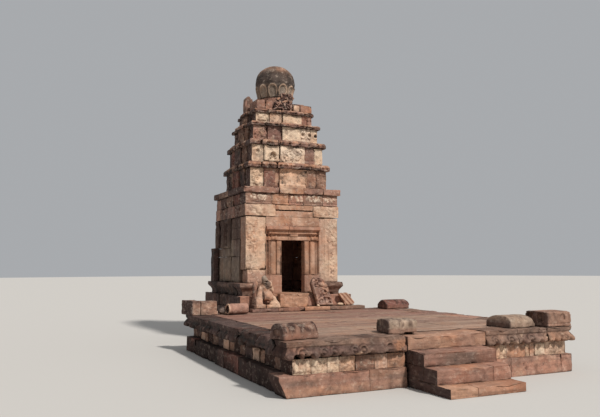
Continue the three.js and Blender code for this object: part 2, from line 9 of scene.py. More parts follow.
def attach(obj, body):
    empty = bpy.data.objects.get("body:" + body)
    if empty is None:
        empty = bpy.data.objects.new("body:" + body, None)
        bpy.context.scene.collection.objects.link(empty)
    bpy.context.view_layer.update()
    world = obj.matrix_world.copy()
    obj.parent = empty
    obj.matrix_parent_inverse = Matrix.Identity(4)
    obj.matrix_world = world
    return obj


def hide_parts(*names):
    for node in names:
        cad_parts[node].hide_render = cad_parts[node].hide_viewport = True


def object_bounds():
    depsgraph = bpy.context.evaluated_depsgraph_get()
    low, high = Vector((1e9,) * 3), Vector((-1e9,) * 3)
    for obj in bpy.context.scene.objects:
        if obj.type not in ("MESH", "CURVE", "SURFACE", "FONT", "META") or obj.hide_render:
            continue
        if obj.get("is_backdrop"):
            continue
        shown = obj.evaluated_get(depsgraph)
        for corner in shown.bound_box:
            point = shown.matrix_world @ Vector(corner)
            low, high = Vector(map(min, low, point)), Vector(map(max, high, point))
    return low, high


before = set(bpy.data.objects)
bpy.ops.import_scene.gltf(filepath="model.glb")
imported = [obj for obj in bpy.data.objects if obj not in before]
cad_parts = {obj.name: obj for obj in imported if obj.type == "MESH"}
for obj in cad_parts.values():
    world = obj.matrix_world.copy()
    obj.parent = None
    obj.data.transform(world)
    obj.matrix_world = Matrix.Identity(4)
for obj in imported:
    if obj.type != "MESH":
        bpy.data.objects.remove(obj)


def as_lists(bounds):
    return [[float(c) for c in corner] for corner in bounds]


size = {"cad": as_lists(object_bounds())}

# Places are in metres: x from the axis of the door, y from the front plane of the platform and
# z from the ground. SHIFT carries them into the frame, whose origin is the footprint's centre.
SHIFT = np.array((0.035, -3.775, 0.0))
TOWER_Y = 7.03

CODES = dict(
    white="d9c0a6", cream="cfae94", buff="c3a38e", tan="b48b72", orange="ad7c5e", pink="a87c6a",
    rose="99685a", mauve="8b6c60", maroon="7a544b", brown="7e6356", grey="6f6058", dark="584540",
    black="3a302c", wine="836156", stain="75655b", grey_tan="8f7c6b", fill="8f8072", putty="a08a78",
    clay="9c7a68", soot="4a3630", shadow="33231e", chalk="e0c9b2", dusky="8f7064", base="9a7565",
    base_low="a37a64", pinkish="a98271", eave="846a5c", topstep="a5806b", paving="98796a",
    paving_red="835e52", paving_grey="a48c78",
)


def linear(code):
    """A display colour written in hexadecimal as linear red, green and blue."""
    return np.array([((int(code[i : i + 2], 16) / 255 + 0.055) / 1.055) ** 2.4 for i in (0, 2, 4)])


TONES = {name: linear(code) for name, code in CODES.items()}


# Noise


# Large odd numbers that scatter neighbouring cells, and the 32 bits that are kept of each product.
SPREAD, SEED_SPREAD = (374761393, 668265263, 2147483629), 1442695041
STIR_1, STIR_2, BITS = 1274126177, 2246822519, 0xFFFFFFFF


def lattice(cell, seed):
    """A repeatable value between 0 and 1 for each whole-numbered cell."""
    h = (cell.astype(np.int64) * SPREAD).sum(1) + seed * SEED_SPREAD & BITS
    h = (h ^ (h >> 13)) * STIR_1 & BITS
    h = (h ^ (h >> 15)) * STIR_2 & BITS
    return (h ^ (h >> 16)) / BITS


def value_noise(p, seed):
    cell = np.floor(p)
    f = p - cell
    f = f * f * (3 - 2 * f)
    total = np.zeros(len(p))
    for corner in itertools.product((0, 1), repeat=3):
        w = np.prod(np.where(corner, f, 1 - f), axis=1)
        total += w * lattice(cell + corner, seed)
    return total * 2 - 1


def fbm(p, scale, octaves, seed):
    """Layered noise between about -1 and 1 at points p, with features 1 / scale apart."""
    layers = (0.5**k * value_noise(p * scale * 2**k + 17.3 * k, seed + k) for k in range(octaves))
    return sum(layers) / 1.75


def ridge(t, width):
    return np.exp(-((t / width) ** 2))


def ease(t, lo, hi):
    """0 below lo, 1 above hi and smooth between."""
    s = np.clip((t - lo) / (hi - lo), 0, 1)
    return s * s * (3 - 2 * s)


def plane(x, z, third=0.0):
    """Points of a face for the noise. third tells one face from the next."""
    return np.stack((x, z, np.full(len(x), float(third))), 1)


# Tones


def mix(colour, other, share):
    """Lays another colour over the first, with a share for each point."""
    share = share[:, None]
    return colour * (1 - share) + other * share


def cloud(scale, lo, hi, seed, stretch=(1, 1, 1)):
    """A soft-edged patch pattern: 0 where the noise is under lo, 1 over hi."""
    return lambda p: ease(fbm(p * np.array(stretch, float), scale, 3, seed), lo, hi)


def along(axis, lo, hi):
    """0 at lo and 1 at hi along one axis, whichever of them is the greater."""
    if hi > lo:
        return lambda p: ease(p[:, axis], lo, hi)
    return lambda p: ease(-p[:, axis], -lo, -hi)


def near(axis, place, width):
    """1 at a place along one axis, fading over the width."""
    return lambda p: ridge(p[:, axis] - place, width)


def both(*weights):
    """The product of several weights."""
    return lambda p: math.prod(weight(p) for weight in weights)


def tinted(*parts):
    """Lays tones over a stone one after another: (share, weight(p), tone)."""

    def tint(p, colour):
        for share, weight, tone in parts:
            colour = mix(colour, TONES[tone], share * np.clip(weight(p), 0, 1))
        return colour

    return tint


# Pieces


class Piece:
    """One visible piece: many stones gathered in one mesh, with a tone and a value of grime and painted shade
    each.
    """

    def __init__(self, name, slot, nodes, look="wall"):
        self.name, self.slot, self.nodes, self.look = name, slot, nodes, look
        self.points, self.loops, self.sizes, self.tones, self.grimes = [], [], [], [], []
        self.count = 0
        pieces.append(self)

    def add(self, points, loops, sizes, tone, grime):
        self.points.append(points + SHIFT)
        self.loops.append(np.asarray(loops).ravel() + self.count)
        self.sizes.append(np.asarray(sizes))
        self.tones.append(np.broadcast_to(tone, (len(points), 3)))
        self.grimes.append(np.broadcast_to(grime, (len(points),)))
        self.count += len(points)

    def finish(self):
        points = np.clip(np.concatenate(self.points), *size["cad"]).astype(np.float32)
        loops = np.concatenate(self.loops).astype(np.int32)
        sizes = np.concatenate(self.sizes).astype(np.int32)
        mesh = bpy.data.meshes.new(self.name)
        mesh.vertices.add(len(points))
        mesh.vertices.foreach_set("co", points.ravel())
        mesh.loops.add(len(loops))
        mesh.loops.foreach_set("vertex_index", loops)
        mesh.polygons.add(len(sizes))
        starts = np.concatenate(([0], np.cumsum(sizes)[:-1])).astype(np.int32)
        mesh.polygons.foreach_set("loop_start", starts)
        mesh.update(calc_edges=True)
        mesh.validate()
        corners = np.empty(len(mesh.polygons), np.int32)
        mesh.polygons.foreach_get("loop_total", corners)
        mesh.polygons.foreach_set("use_smooth", corners < 5)
        tones = np.ones((len(points), 4), np.float32)
        tones[:, :3] = np.concatenate(self.tones)
        layer = mesh.attributes.new("tone", "FLOAT_COLOR", "POINT")
        layer.data.foreach_set("color", tones.ravel())
        grime = mesh.attributes.new("grime", "FLOAT", "POINT")
        grime.data.foreach_set("value", np.concatenate(self.grimes).astype(np.float32))
        obj = bpy.data.objects.new(self.name, mesh)
        bpy.context.scene.collection.objects.link(obj)
        mesh.materials.append(LOOKS[self.look])
        if self.nodes:
            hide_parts(*self.nodes)
        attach(obj, "root")


pieces = []
seeds = itertools.count(1)


class Face:
    """A straight wall plane. Along it runs local x, local y goes into the wall, z is up."""

    def __init__(self, x, y, turn=0.0):
        self.at = np.array((x, y, 0.0))
        c, s = math.cos(math.radians(turn)), math.sin(math.radians(turn))
        self.turn = np.array(((c, -s, 0), (s, c, 0), (0, 0, 1)))

    def out(self, p):
        return p @ self.turn.T + self.at


def ring_faces(half_x, half_y):
    """The four sides of a rectangle round the tower's middle. Local x is 0 in the middle of each."""
    return {
        "front": (Face(0, TOWER_Y - half_y, 0), half_x),
        "right": (Face(half_x, TOWER_Y, 90), half_y),
        "back": (Face(0, TOWER_Y + half_y, 180), half_x),
        "left": (Face(-half_x, TOWER_Y, -90), half_y),
    }


def side_lines(length, step, edge):
    edge = min(edge, length * 0.3)
    inner = np.linspace(edge, length - edge, max(2, int(round((length - 2 * edge) / step)) + 1))
    return np.concatenate(([0, edge * 0.3], inner, [length - edge * 0.3, length]))


def box_surface(nx, ny, nz, plain):
    """Index grid of a box's surface: (i, j, k) of each vertex, loops and face sizes.
    The faces named in plain are left as one polygon."""
    codes, sizes = [], []

    def code(i, j, k):
        return (i * (ny + 1) + j) * (nz + 1) + k

    def side(name, na, nb, at, flip):
        a, b = np.meshgrid(np.arange(na), np.arange(nb), indexing="ij")
        a, b = a.ravel(), b.ravel()
        corners = [at(a, b), at(a + 1, b), at(a + 1, b + 1), at(a, b + 1)]
        if flip:
            corners.reverse()
        if name in plain:
            edge = [(t, 0) for t in range(na)] + [(na, t) for t in range(nb)]
            edge += [(t, nb) for t in range(na, 0, -1)] + [(0, t) for t in range(nb, 0, -1)]
            loop = np.array([at(*e) for e in edge])
            codes.append(loop[::-1] if flip else loop)
            sizes.append(np.array([len(loop)]))
            return
        codes.append(np.stack(corners, 1).ravel())
        sizes.append(np.full(len(a), 4))

    side("front", nx, nz, lambda a, b: code(a, 0, b), False)
    side("back", nx, nz, lambda a, b: code(a, ny, b), True)
    side("left", ny, nz, lambda a, b: code(0, a, b), True)
    side("right", ny, nz, lambda a, b: code(nx, a, b), False)
    side("bottom", nx, ny, lambda a, b: code(a, b, 0), True)
    side("top", nx, ny, lambda a, b: code(a, b, nz), False)
    used, loops = np.unique(np.concatenate(codes), return_inverse=True)
    i, rest = np.divmod(used, (ny + 1) * (nz + 1))
    j, k = np.divmod(rest, nz + 1)
    return i, j, k, loops.ravel(), np.concatenate(sizes)


def stone(piece, face, xr, yr, zr, tone, step=0.03, edge=0.008, rough=0.004, chip=0.012, grime=0.0,
          front=None, left=None, right=None, top=None, shape=None, plain=("back",), gap=0.0012,
          lean=0.0, tint=None, ends=(None, None)):
    """One dressed stone: a worn box whose faces can carry carving. xr, yr and zr are its reach.
    front, left, right and top give the height of the carving over that face. shape moves the
    points, tint lays tones over them, and plain names the faces that are left as one polygon.
    ends are darker tones for its left and right side, painted shade for a side that faces away from the
    light."""
    seed = next(seeds)
    rng = np.random.default_rng(seed)
    lo = np.array((xr[0] + gap, yr[0], zr[0] + gap * 0.5))
    hi = np.array((xr[1] - gap, yr[1], zr[1] - gap * 0.5))
    steps = step if isinstance(step, tuple) else (step, step, step)
    xs, ys, zs = (lo[a] + side_lines(hi[a] - lo[a], steps[a], edge) for a in range(3))
    n = (len(xs) - 1, len(ys) - 1, len(zs) - 1)
    i, j, k, loops, sizes = box_surface(*n, plain)
    p = np.stack((xs[i], ys[j], zs[k]), 1)
    index = np.stack((i, j, k), 1)
    normal = (index == n).astype(float) - (index == 0)
    r = edge * (0.75 + 0.35 * fbm(p, 8.0, 2, seed))[:, None]
    core = np.clip(p, lo + r, hi - r)
    away = p - core
    length = np.linalg.norm(away, axis=1, keepdims=True)
    p = np.where(length > 1e-9, core + away / np.maximum(length, 1e-9) * r, p)
    unit = normal / np.maximum(np.linalg.norm(normal, axis=1, keepdims=True), 1e-9)
    inset = np.sort(np.minimum(p - lo, hi - p), axis=1)[:, 1]
    grimes = np.full(len(p), float(grime))
    inside = (index > 0) & (index < n)

    def carve(heights, axis, sign, where):
        if heights is None or not where.any():
            return
        others = [a for a in range(3) if a != axis]
        h = heights(p[where][:, others[0]], p[where][:, others[1]])
        fade = np.minimum(1, inset[where] / (edge * 0.8))
        p[where, axis] += sign * h * fade
        # Hollows of the carving get a higher value of grime and painted shade, so they are darker.
        grimes[where] += np.clip(-h * 14, 0, 0.3)

    open_x = inside[:, 0] & inside[:, 2]
    open_y = inside[:, 1] & inside[:, 2]
    open_z = inside[:, 0] & inside[:, 1]
    carve(front, 1, -1, (j == 0) & open_x)
    carve(left, 0, -1, (i == 0) & open_y)
    carve(right, 0, 1, (i == n[0]) & open_y)
    carve(top, 2, 1, (k == n[2]) & open_z)
    if shape is not None:
        p = shape(p)
    q = p + seed * 3.17
    bumps = rough * fbm(q, 3.2, 3, 3) + rough * 0.6 * fbm(q, 15.0, 2, 5)
    wear = np.clip(fbm(q, 4.0, 3, 9) - 0.12, 0, 1) * chip * 4.0 * np.exp(-((inset / 0.03) ** 2))
    p += unit * (bumps - wear)[:, None]
    if lean:
        mid = (lo + hi) / 2
        a, b = rng.normal(0, lean, 2)
        p[:, 2] += (p[:, 0] - mid[0]) * a + (p[:, 1] - mid[1]) * b
    shade = rng.normal(1.0, 0.035)
    colour = TONES[tone] * shade
    if tint is not None:
        colour = tint(p, np.broadcast_to(colour, (len(p), 3)))
    # Painted shade: a side face that turns away from the light takes the darker tone given in ends.
    for name, where in zip(ends, ((i == 0) & (j > 0), (i == n[0]) & (j > 0))):
        if name is not None:
            colour = np.where(where[:, None], TONES[name], colour)
    piece.add(face.out(p), loops, sizes, colour, grimes)


# The faces of a stone that its neighbours hide are left as one polygon each.
BEDDED = ("back", "top", "bottom")
SUNK = (*BEDDED, "left", "right")
HIDDEN = (*SUNK, "front")
OPEN_TOP = ("back", "bottom", "left", "right", "front")


def hidden_ends(a, b, bounds):
    """The end faces of the stone from a to b that lie inside the row."""
    return (("left",) if a != bounds[0] else ()) + (("right",) if b != bounds[-1] else ())


def course(piece, face, bounds, yr, zr, tones, jitter=0.004, ends=(None, None), plain=("back",), **options):
    """A row of stones with joints at bounds. ends are the tones of the row's two end faces, painted shade
    where an end faces away from the light.
    """
    tones = itertools.cycle(tones)
    rng = np.random.default_rng(int(abs(bounds[0] * 1000 + zr[0] * 77)) + len(bounds))
    for a, b in zip(bounds, bounds[1:]):
        out = rng.uniform(-jitter, jitter)
        shown = (ends[0] if a == bounds[0] else None, ends[1] if b == bounds[-1] else None)
        stone(piece, face, (a, b), (yr[0] + out, yr[1]), zr, next(tones), ends=shown,
              plain=(*plain, *hidden_ends(a, b, bounds)), **options)


def joints(start, end, about, seed):
    """Joint places between start and end, roughly about apart."""
    rng = np.random.default_rng(seed)
    count = max(1, int(round((end - start) / about)))
    places = np.linspace(start, end, count + 1)
    places[1:-1] += rng.uniform(-0.22, 0.22, count - 1) * (end - start) / count
    return [float(t) for t in places]


def lathe(piece, outline, count, tone, carve, grime, tint=None):
    """A body turned about the tower's middle. outline is (radius, z) from the foot to the top."""
    seed = next(seeds)
    outline = np.asarray(outline, float)
    turn = np.arange(count)
    t = np.tile(turn * 2 * math.pi / count, len(outline))
    z = np.repeat(outline[:, 1], count)
    r = np.repeat(outline[:, 0], count) + carve(t, z)
    q = np.stack((r * np.cos(t), r * np.sin(t), z), 1) + seed * 1.7
    r = r + 0.004 * fbm(q, 4.0, 3, 3) + 0.002 * fbm(q, 18.0, 2, 4)
    p = np.stack((r * np.cos(t), r * np.sin(t) + TOWER_Y, z), 1)
    rings = np.arange(len(outline) - 1)[:, None] * count
    a, b = rings + turn, rings + (turn + 1) % count
    quads = np.stack((a, b, b + count, a + count), -1).reshape(-1, 4)
    loops = np.concatenate((quads.ravel(), turn[::-1], len(rings) * count + turn))
    sizes = np.concatenate((np.full(len(quads), 4), [count, count]))
    colour = TONES[tone]
    if tint is not None:
        colour = tint(t, z, np.broadcast_to(colour, (len(p), 3)))
    piece.add(p, loops, sizes, colour, grime(t, z))


# Carving


def within(x, z, box, soft):
    """1 inside the box (x0, x1, z0, z1), fading to 0 at its edges."""
    x0, x1, z0, z1 = box
    return ease(np.minimum(np.minimum(x - x0, x1 - x), np.minimum(z - z0, z1 - z)), 0, soft)


def scrolls(x, z, box, count, radius, seed, height, width):
    """Worn curling carving over the box (x0, x1, z0, z1)."""
    x0, x1, z0, z1 = box
    rng = np.random.default_rng(seed)
    out = np.zeros(len(x))
    for _ in range(count):
        cx = x0 + (x1 - x0) * rng.uniform(0.12, 0.88)
        cz = z0 + (z1 - z0) * rng.uniform(0.12, 0.88)
        r = radius * rng.uniform(0.6, 1.3)
        start, span = rng.uniform(0, 6.28), rng.uniform(2.4, 5.6)
        d = np.hypot(x - cx, z - cz)
        turn = (np.arctan2(z - cz, x - cx) - start) % (2 * math.pi)
        curl = ridge(d - r * (1 - 0.4 * turn / span), width) * (turn < span)
        out = np.maximum(out, np.maximum(curl, 0.85 * ridge(d, 0.4 * r)))
    return height * out * within(x, z, box, 0.02)


def arch(x, z, cx, cz, r, band, height, hollow):
    """A small horseshoe arch with a sunk middle and feet that turn outwards."""
    d = np.hypot(x - cx, z - cz)
    above = z > cz - 0.75 * r
    ringed = ridge(d - r, band) * above
    foot = ridge(np.abs(x - cx) - r * 1.15, band * 1.2) * ridge(z - (cz - 0.95 * r), band * 1.4)
    tip = ridge(x - cx, band) * ridge(z - (cz + r * 1.35), band * 1.3)
    sunk = ease(r - band - d, -0.004, 0.01)
    return height * np.maximum(np.maximum(ringed, foot), tip) - hollow * sunk


def flutes(x, pitch, depth):
    return -depth * (0.5 + 0.5 * np.cos(2 * math.pi * x / pitch)) ** 2


def bands(z, places, width, depth):
    """Level grooves at the given places."""
    out = np.zeros(len(z))
    for at in places:
        out = np.minimum(out, -depth * ridge(z - at, width))
    return out


def worn(x, z, seed, amount, scale):
    """Flaked, weathered surface in place of carving that is gone."""
    return -amount * ease(fbm(plane(x, z, seed * 1.31), scale, 3, seed), 0.0, 0.25)


def squiggles(x, z, box, scale, seed, depth):
    """Worn scroll relief over a box, left as winding sunk lines."""
    line = ridge(fbm(plane(x, z, seed * 0.9), scale, 2, seed), 0.09)
    return -depth * line * within(x, z, box, 0.015)


# Materials


def stone_look(name, bed, contrast, flake, lichen, drip, roughness=0.9, bump=0.5, fine=0.2):
    """Weathered sandstone over the tone of each stone. bed stretches the bedding streaks, flake
    is the share of pale worn skin, lichen of dark blotches and drip of rain stains. fine is the
    contrast of patches the size of a hand. Colour is darkened as painted shade in creases and recesses, and a
    value of grime and painted shade thickens a dark crust."""
    material = bpy.data.materials.new(name)
    material.use_nodes = True
    tree = material.node_tree
    tree.nodes.clear()

    def node(kind, **values):
        made = tree.nodes.new(kind)
        for key, value in values.items():
            setattr(made, key, value)
        return made

    def feed(target, slot, value):
        """Sets an input to a number or a colour, or links it to a node or an output."""
        if isinstance(value, (int, float)):
            target.inputs[slot].default_value = value
        elif isinstance(value, tuple):
            target.inputs[slot].default_value = (*value, 1)
        else:
            output = value if isinstance(value, bpy.types.NodeSocket) else value.outputs[0]
            tree.links.new(output, target.inputs[slot])

    def noise(scale, detail, rough, shift=0.0, turn=(0, 0, 0)):
        mapping = node("ShaderNodeMapping")
        mapping.inputs["Scale"].default_value = scale
        mapping.inputs["Location"].default_value = (shift, shift * 0.7, shift * 1.3)
        mapping.inputs["Rotation"].default_value = turn
        feed(mapping, "Vector", place.outputs["Object"])
        made = node("ShaderNodeTexNoise")
        for slot, value in (("Scale", 1.0), ("Detail", detail), ("Roughness", rough), ("Vector", mapping)):
            feed(made, slot, value)
        return made.outputs["Fac"]

    def remap(source, a, b, c, d, kind="LINEAR"):
        made = node("ShaderNodeMapRange", interpolation_type=kind)
        for slot, value in zip(("Value", "From Min", "From Max", "To Min", "To Max"), (source, a, b, c, d)):
            feed(made, slot, value)
        return made.outputs["Result"]

    def patch(source, lo, hi, share):
        """0 where the noise is under lo and share over hi, smooth between."""
        return remap(source, lo, hi, 0, share, "SMOOTHSTEP")

    def sums(kind, a, b):
        made = node("ShaderNodeMath", operation=kind)
        feed(made, 0, a)
        feed(made, 1, b)
        return made.outputs[0]

    def blend(kind, factor, a, b):
        """Slots 6 and 7 of the node are its two colours."""
        made = node("ShaderNodeMix", data_type="RGBA", blend_type=kind)
        for slot, value in ((0, factor), (6, a), (7, b)):
            feed(made, slot, value)
        return made.outputs[2]

    def scaled(colour, factor):
        made = node("ShaderNodeVectorMath", operation="SCALE")
        feed(made, 0, colour)
        feed(made, "Scale", factor)
        return made.outputs[0]

    place = node("ShaderNodeTexCoord")
    tone = node("ShaderNodeAttribute", attribute_name="tone", attribute_type="GEOMETRY").outputs["Color"]
    grime = node("ShaderNodeAttribute", attribute_name="grime", attribute_type="GEOMETRY").outputs["Fac"]
    streaks = noise(bed, 6.0, 0.62, turn=(0.03, 0.05, 0.02))
    patches = noise((1.6, 1.6, 2.0), 5.0, 0.6)
    mottles = noise((7.0, 7.0, 7.0), 6.0, 0.65, 3.1)
    flakes = noise((11.0, 11.0, 15.0), 6.0, 0.68, 7.7)
    blotches = noise((6.5, 6.5, 9.0), 7.0, 0.7, 12.9)
    drips = noise((9.0, 9.0, 0.9), 5.0, 0.6, 5.3)
    grains = noise((70.0, 70.0, 70.0), 3.0, 0.6)

    warm = blend("MULTIPLY", 1.0, tone, (1.03, 0.91, 0.84))
    cool = blend("MULTIPLY", 1.0, tone, (0.83, 0.85, 0.88))
    pale = blend("MIX", 0.5, tone, (0.74, 0.6, 0.48))
    colour = blend("MIX", patch(patches, 0.46, 0.6, 0.75), tone, warm)
    colour = blend("MIX", patch(patches, 0.44, 0.34, 0.7), colour, cool)
    colour = blend("MIX", patch(flakes, 0.53, 0.62, flake), colour, pale)
    colour = scaled(colour, remap(streaks, 0.3, 0.7, 1 - contrast, 1 + contrast * 0.75))
    colour = scaled(colour, remap(grains, 0.25, 0.75, 0.9, 1.08))
    colour = scaled(colour, remap(mottles, 0.36, 0.64, 1 - fine, 1 + fine * 0.7))
    dim = blend("MULTIPLY", 1.0, colour, (0.5, 0.46, 0.45))
    colour = blend("MIX", patch(blotches, 0.55, 0.68, 0.85 * lichen), colour, dim)
    colour = blend("MIX", patch(drips, 0.54, 0.7, drip), colour, dim)
    specks = patch(noise((26.0, 26.0, 26.0), 4.0, 0.7), 0.6, 0.68, 0.5 * lichen + 0.1)
    colour = blend("MIX", specks, colour, (0.07, 0.052, 0.045))
    # The value of grime and painted shade at each point thickens the dark crust.
    crust = sums("ADD", noise((3.4, 3.4, 3.4), 8.0, 0.68), sums("MULTIPLY", grime, 0.55))
    dark = blend("MIX", remap(mottles, 0.4, 0.7, 0, 1), (0.03, 0.026, 0.024), (0.085, 0.07, 0.06))
    colour = blend("MIX", patch(crust, 0.66, 0.86, 0.9), colour, dark)
    # Painted shade: an ambient occlusion node darkens the colour in creases, joints and recesses.
    hollow = node("ShaderNodeAmbientOcclusion", samples=5)
    feed(hollow, "Distance", 0.07)
    colour = scaled(colour, remap(hollow.outputs["AO"], 0.2, 0.9, 0.42, 1.0))

    height = sums("ADD", sums("MULTIPLY", grains, 0.25), sums("MULTIPLY", mottles, 0.8))
    height = sums("ADD", height, sums("MULTIPLY", streaks, 0.5))
    height = sums("SUBTRACT", height, sums("MULTIPLY", specks, 0.5))
    height = sums("ADD", height, remap(flakes, 0.53, 0.58, 0, 0.5 * flake))
    relief = node("ShaderNodeBump")
    for slot, value in (("Strength", bump), ("Distance", 0.02), ("Height", height)):
        feed(relief, slot, value)
    shader = node("ShaderNodeBsdfPrincipled")
    for slot, value in (("Specular IOR Level", 0.22), ("Roughness", roughness), ("Base Color", colour),
                        ("Normal", relief)):
        feed(shader, slot, value)
    feed(node("ShaderNodeOutputMaterial"), "Surface", shader)
    return material


LOOKS = {
    "wall": stone_look("walling", (1.6, 1.6, 9.0), 0.14, 0.6, 0.5, 0.5, fine=0.16),
    "frame": stone_look("door_frame_stone", (5.0, 1.6, 2.0), 0.2, 0.3, 0.3, 0.5, fine=0.12),
    "dressed": stone_look("dressed_blocks", (1.2, 1.2, 7.0), 0.2, 0.2, 0.5, 0.85, fine=0.18),
    "paving": stone_look("paving_slabs", (0.5, 6.0, 3.0), 0.3, 0.3, 0.15, 0.0, 0.88, 0.4, 0.1),
    "base": stone_look("base_stone", (0.7, 1.2, 9.0), 0.24, 0.3, 0.55, 0.5, fine=0.3),
    "steps": stone_look("step_stone", (0.8, 2.5, 16.0), 0.34, 0.25, 0.45, 0.2, fine=0.18),
    "eave": stone_look("eave_stone", (1.5, 1.5, 14.0), 0.25, 0.2, 0.7, 0.6, 0.92, 0.6, 0.32),
    "frieze": stone_look("frieze_stone", (1.6, 1.6, 9.0), 0.12, 0.6, 0.3, 0.3, 0.9, 0.6, 0.24),
    "roof": stone_look("roof_stone", (1.8, 1.8, 8.0), 0.25, 0.7, 0.9, 0.6, 0.93, 0.6, 0.35),
    "tier": stone_look("tier_stone", (1.6, 1.6, 9.0), 0.12, 0.5, 0.55, 0.4, 0.9, 0.6, 0.22),
    "dome": stone_look("dome_stone", (2.0, 2.0, 2.6), 0.25, 0.5, 0.8, 0.5, 0.94, 0.7, 0.3),
    "figure": stone_look("carved_stone", (2.5, 2.5, 4.0), 0.2, 0.5, 0.5, 0.3, 0.9, 0.6, 0.25),
    "coping": stone_look("coping_stone", (6.0, 2.0, 1.6), 0.2, 0.35, 0.7, 0.6, 0.9, 0.5, 0.28),
    "core": stone_look("core_stone", (1.5, 1.5, 6.0), 0.25, 0.3, 0.6, 0.3),
}

# Platform

BASE_TOP, FRIEZE_TOP, FILLET, TOP = 0.305, 0.52, 0.69, 0.77
BAY_LEFT, BAY_RIGHT, HALF, DEPTH = -0.71, 0.785, 2.69, 5.58
BASE_IN, FRIEZE_IN = 0.025, 0.125
EAVE_OUT, EAVE_DEEP, EAVE_ROLL = 0.03, 0.48, 0.25
# Half the width of the platform's back edge where the tower's foot covers it.
TONGUE = 1.5


def undercut(p):
    """The corner stone of the base leans in towards its foot."""
    p = p.copy()
    low = np.clip((0.24 - p[:, 2]) / 0.24, 0, 1)
    corner = np.clip((-2.4 - p[:, 0]) / 0.39, 0, 1)
    p[:, 0] += 0.115 * low**0.8 * corner
    return p


def base_face(x, z):
    return worn(x, z, 4, 0.01, 5.0) + bands(z, (0.2,), 0.014, 0.008) + bands(z, (0.13,), 0.01, 0.005)


def pitted(x, z):
    out = base_face(x, z)
    for cx, cz in ((1.586, 0.185), (1.626, 0.115), (2.03, 0.165), (2.459, 0.175)):
        out -= 0.035 * ridge(np.hypot(x - cx, z - cz), 0.02)
    return out


def build_base_course():
    piece = Piece("platform_base_stones", "pink_sandstone", ["platform_base_course"], "base")
    deep, zr, plain = (0, 0.42), (0, BASE_TOP), ("back", "bottom")
    fine = dict(step=(0.024, 0.06, 0.02), rough=0.008, chip=0.01, edge=0.012, gap=0.0003, plain=plain)
    front = Face(0, BASE_IN)
    warm_foot = tinted((0.6, along(2, 0.16, 0.1), "tan"), (0.5, cloud(1.6, 0.0, 0.35, 33, (1, 1, 3)), "clay"),
                       (0.6, cloud(2.2, 0.1, 0.4, 34, (1, 1, 3)), "mauve"),
                       (0.5, cloud(8.0, 0.1, 0.35, 32, (0.5, 1, 1.5)), "brown"),
                       (0.5, both(near(2, 0.19, 0.035), cloud(3.0, -0.2, 0.3, 38)), "grey"))
    # Painted shade: the left end of this row is soot, as it faces away from the light.
    course(piece, front, [-2.79, -1.353, BAY_LEFT], deep, zr, ["base", "clay"],
           jitter=0.002, front=base_face, shape=undercut, tint=warm_foot, ends=("soot", None), **fine)
    spots = tinted((0.5, cloud(3.0, 0.1, 0.4, 35), "grey"), (0.7, cloud(2.6, -0.1, 0.3, 36), "buff"),
                   (0.3, cloud(2.0, 0.1, 0.4, 37, (1, 1, 3)), "base_low"))
    half, back = HALF - BASE_IN, DEPTH - BASE_IN
    course(piece, front, [BAY_RIGHT, 1.31, 2.42, half], deep, zr, ["pinkish"], front=pitted, tint=spots,
           **fine)
    # Painted shade: the left side, away from the light, is given shadow tones, darker stones and more grime
    # and shade than the other sides.
    shaded = tinted((0.9, cloud(2.0, -0.5, 0.0, 39), "shadow"))
    for face, a, b, about, seed, tones, grime, tint in (
        (Face(-half, 0, -90), -back, -0.44, 0.85, 3, ["maroon", "soot", "dark"], 0.1, shaded),
        (Face(half, 0, 90), 0.445, back, 0.8, 4, ["base_low", "pinkish", "mauve"], 0.05, None),
        (Face(0, back, 180), -2.3, -TONGUE, 0.5, 5, ["brown", "mauve"], 0.15, None),
        (Face(0, back, 180), TONGUE, 2.3, 0.5, 6, ["brown", "mauve"], 0.15, None),
    ):
        course(piece, face, joints(a, b, about, seed), (0, 0.35), zr, tones, grime=grime, front=base_face,
               tint=tint, plain=plain, step=(0.036, 0.08, 0.028), rough=0.009, chip=0.03, edge=0.014,
               gap=0.0025)


def carved_block(kind, x0, x1, seed):
    """Carving of one block of the frieze."""
    mid, z0, z1 = (x0 + x1) / 2, BASE_TOP, FRIEZE_TOP

    def heights(x, z):
        out = worn(x, z, seed, 0.01, 8.0)
        if kind == "scroll":
            out += scrolls(x, z, (x0 + 0.02, x1 - 0.02, z0 + 0.02, z1 - 0.02), int((x1 - x0) / 0.03),
                           0.035, seed, 0.014, 0.009)
        elif kind == "rings":
            d = np.hypot(x - mid, z - (z0 + z1) / 2 - 0.01)
            out += 0.012 * ridge(d - 0.064, 0.01) + 0.012 * ridge(d - 0.03, 0.009)
            out -= 0.02 * ridge(x - x1 + 0.05, 0.015) * ridge(z - z0 - 0.15, 0.02)
        elif kind == "lobes":
            cell = (x1 - x0 - 0.03) / 3
            t = (x - x0 - 0.015) % cell - cell / 2
            d = np.hypot(t, (z - z0 - 0.08) * 0.8)
            out += 0.01 * ease(cell * 0.46 - d, 0, 0.02) - 0.01 * ridge(np.abs(t) - cell / 2, 0.01)
            out += squiggles(x, z, (x0, x1, z0, z1), 14.0, seed, 0.012)
        elif kind == "flutes":
            out += flutes(x - x0, 0.052, 0.005) + bands(z, (z0 + 0.035, z1 - 0.03), 0.008, 0.006)
        elif kind == "bars":
            out += 0.014 * ridge(x - mid - 0.02, 0.014) + 0.012 * ridge(x - mid + 0.045, 0.012)
            out -= 0.01 * ridge(x - x0 - 0.02, 0.012)
        elif kind == "pillars":
            out += 0.012 * ease(np.cos(2 * math.pi * (x - x0) / (x1 - x0)), 0.2, 0.6)
            out += 0.008 * ridge(z - z0 - 0.02, 0.018) + 0.008 * ridge(z - z1 + 0.02, 0.018)
        elif kind == "lozenge":
            t = np.abs(((x - x0) / 0.11) % 1 - 0.5) * 2
            s = np.abs(((z - z0) / 0.107) % 1 - 0.5) * 2
            out += 0.018 * ridge(t + s - 1, 0.16)
        return out

    return heights


def veins(scale, seed):
    """Winding lines over a stone."""
    return lambda p: ridge(fbm(p, scale, 2, seed), 0.12)


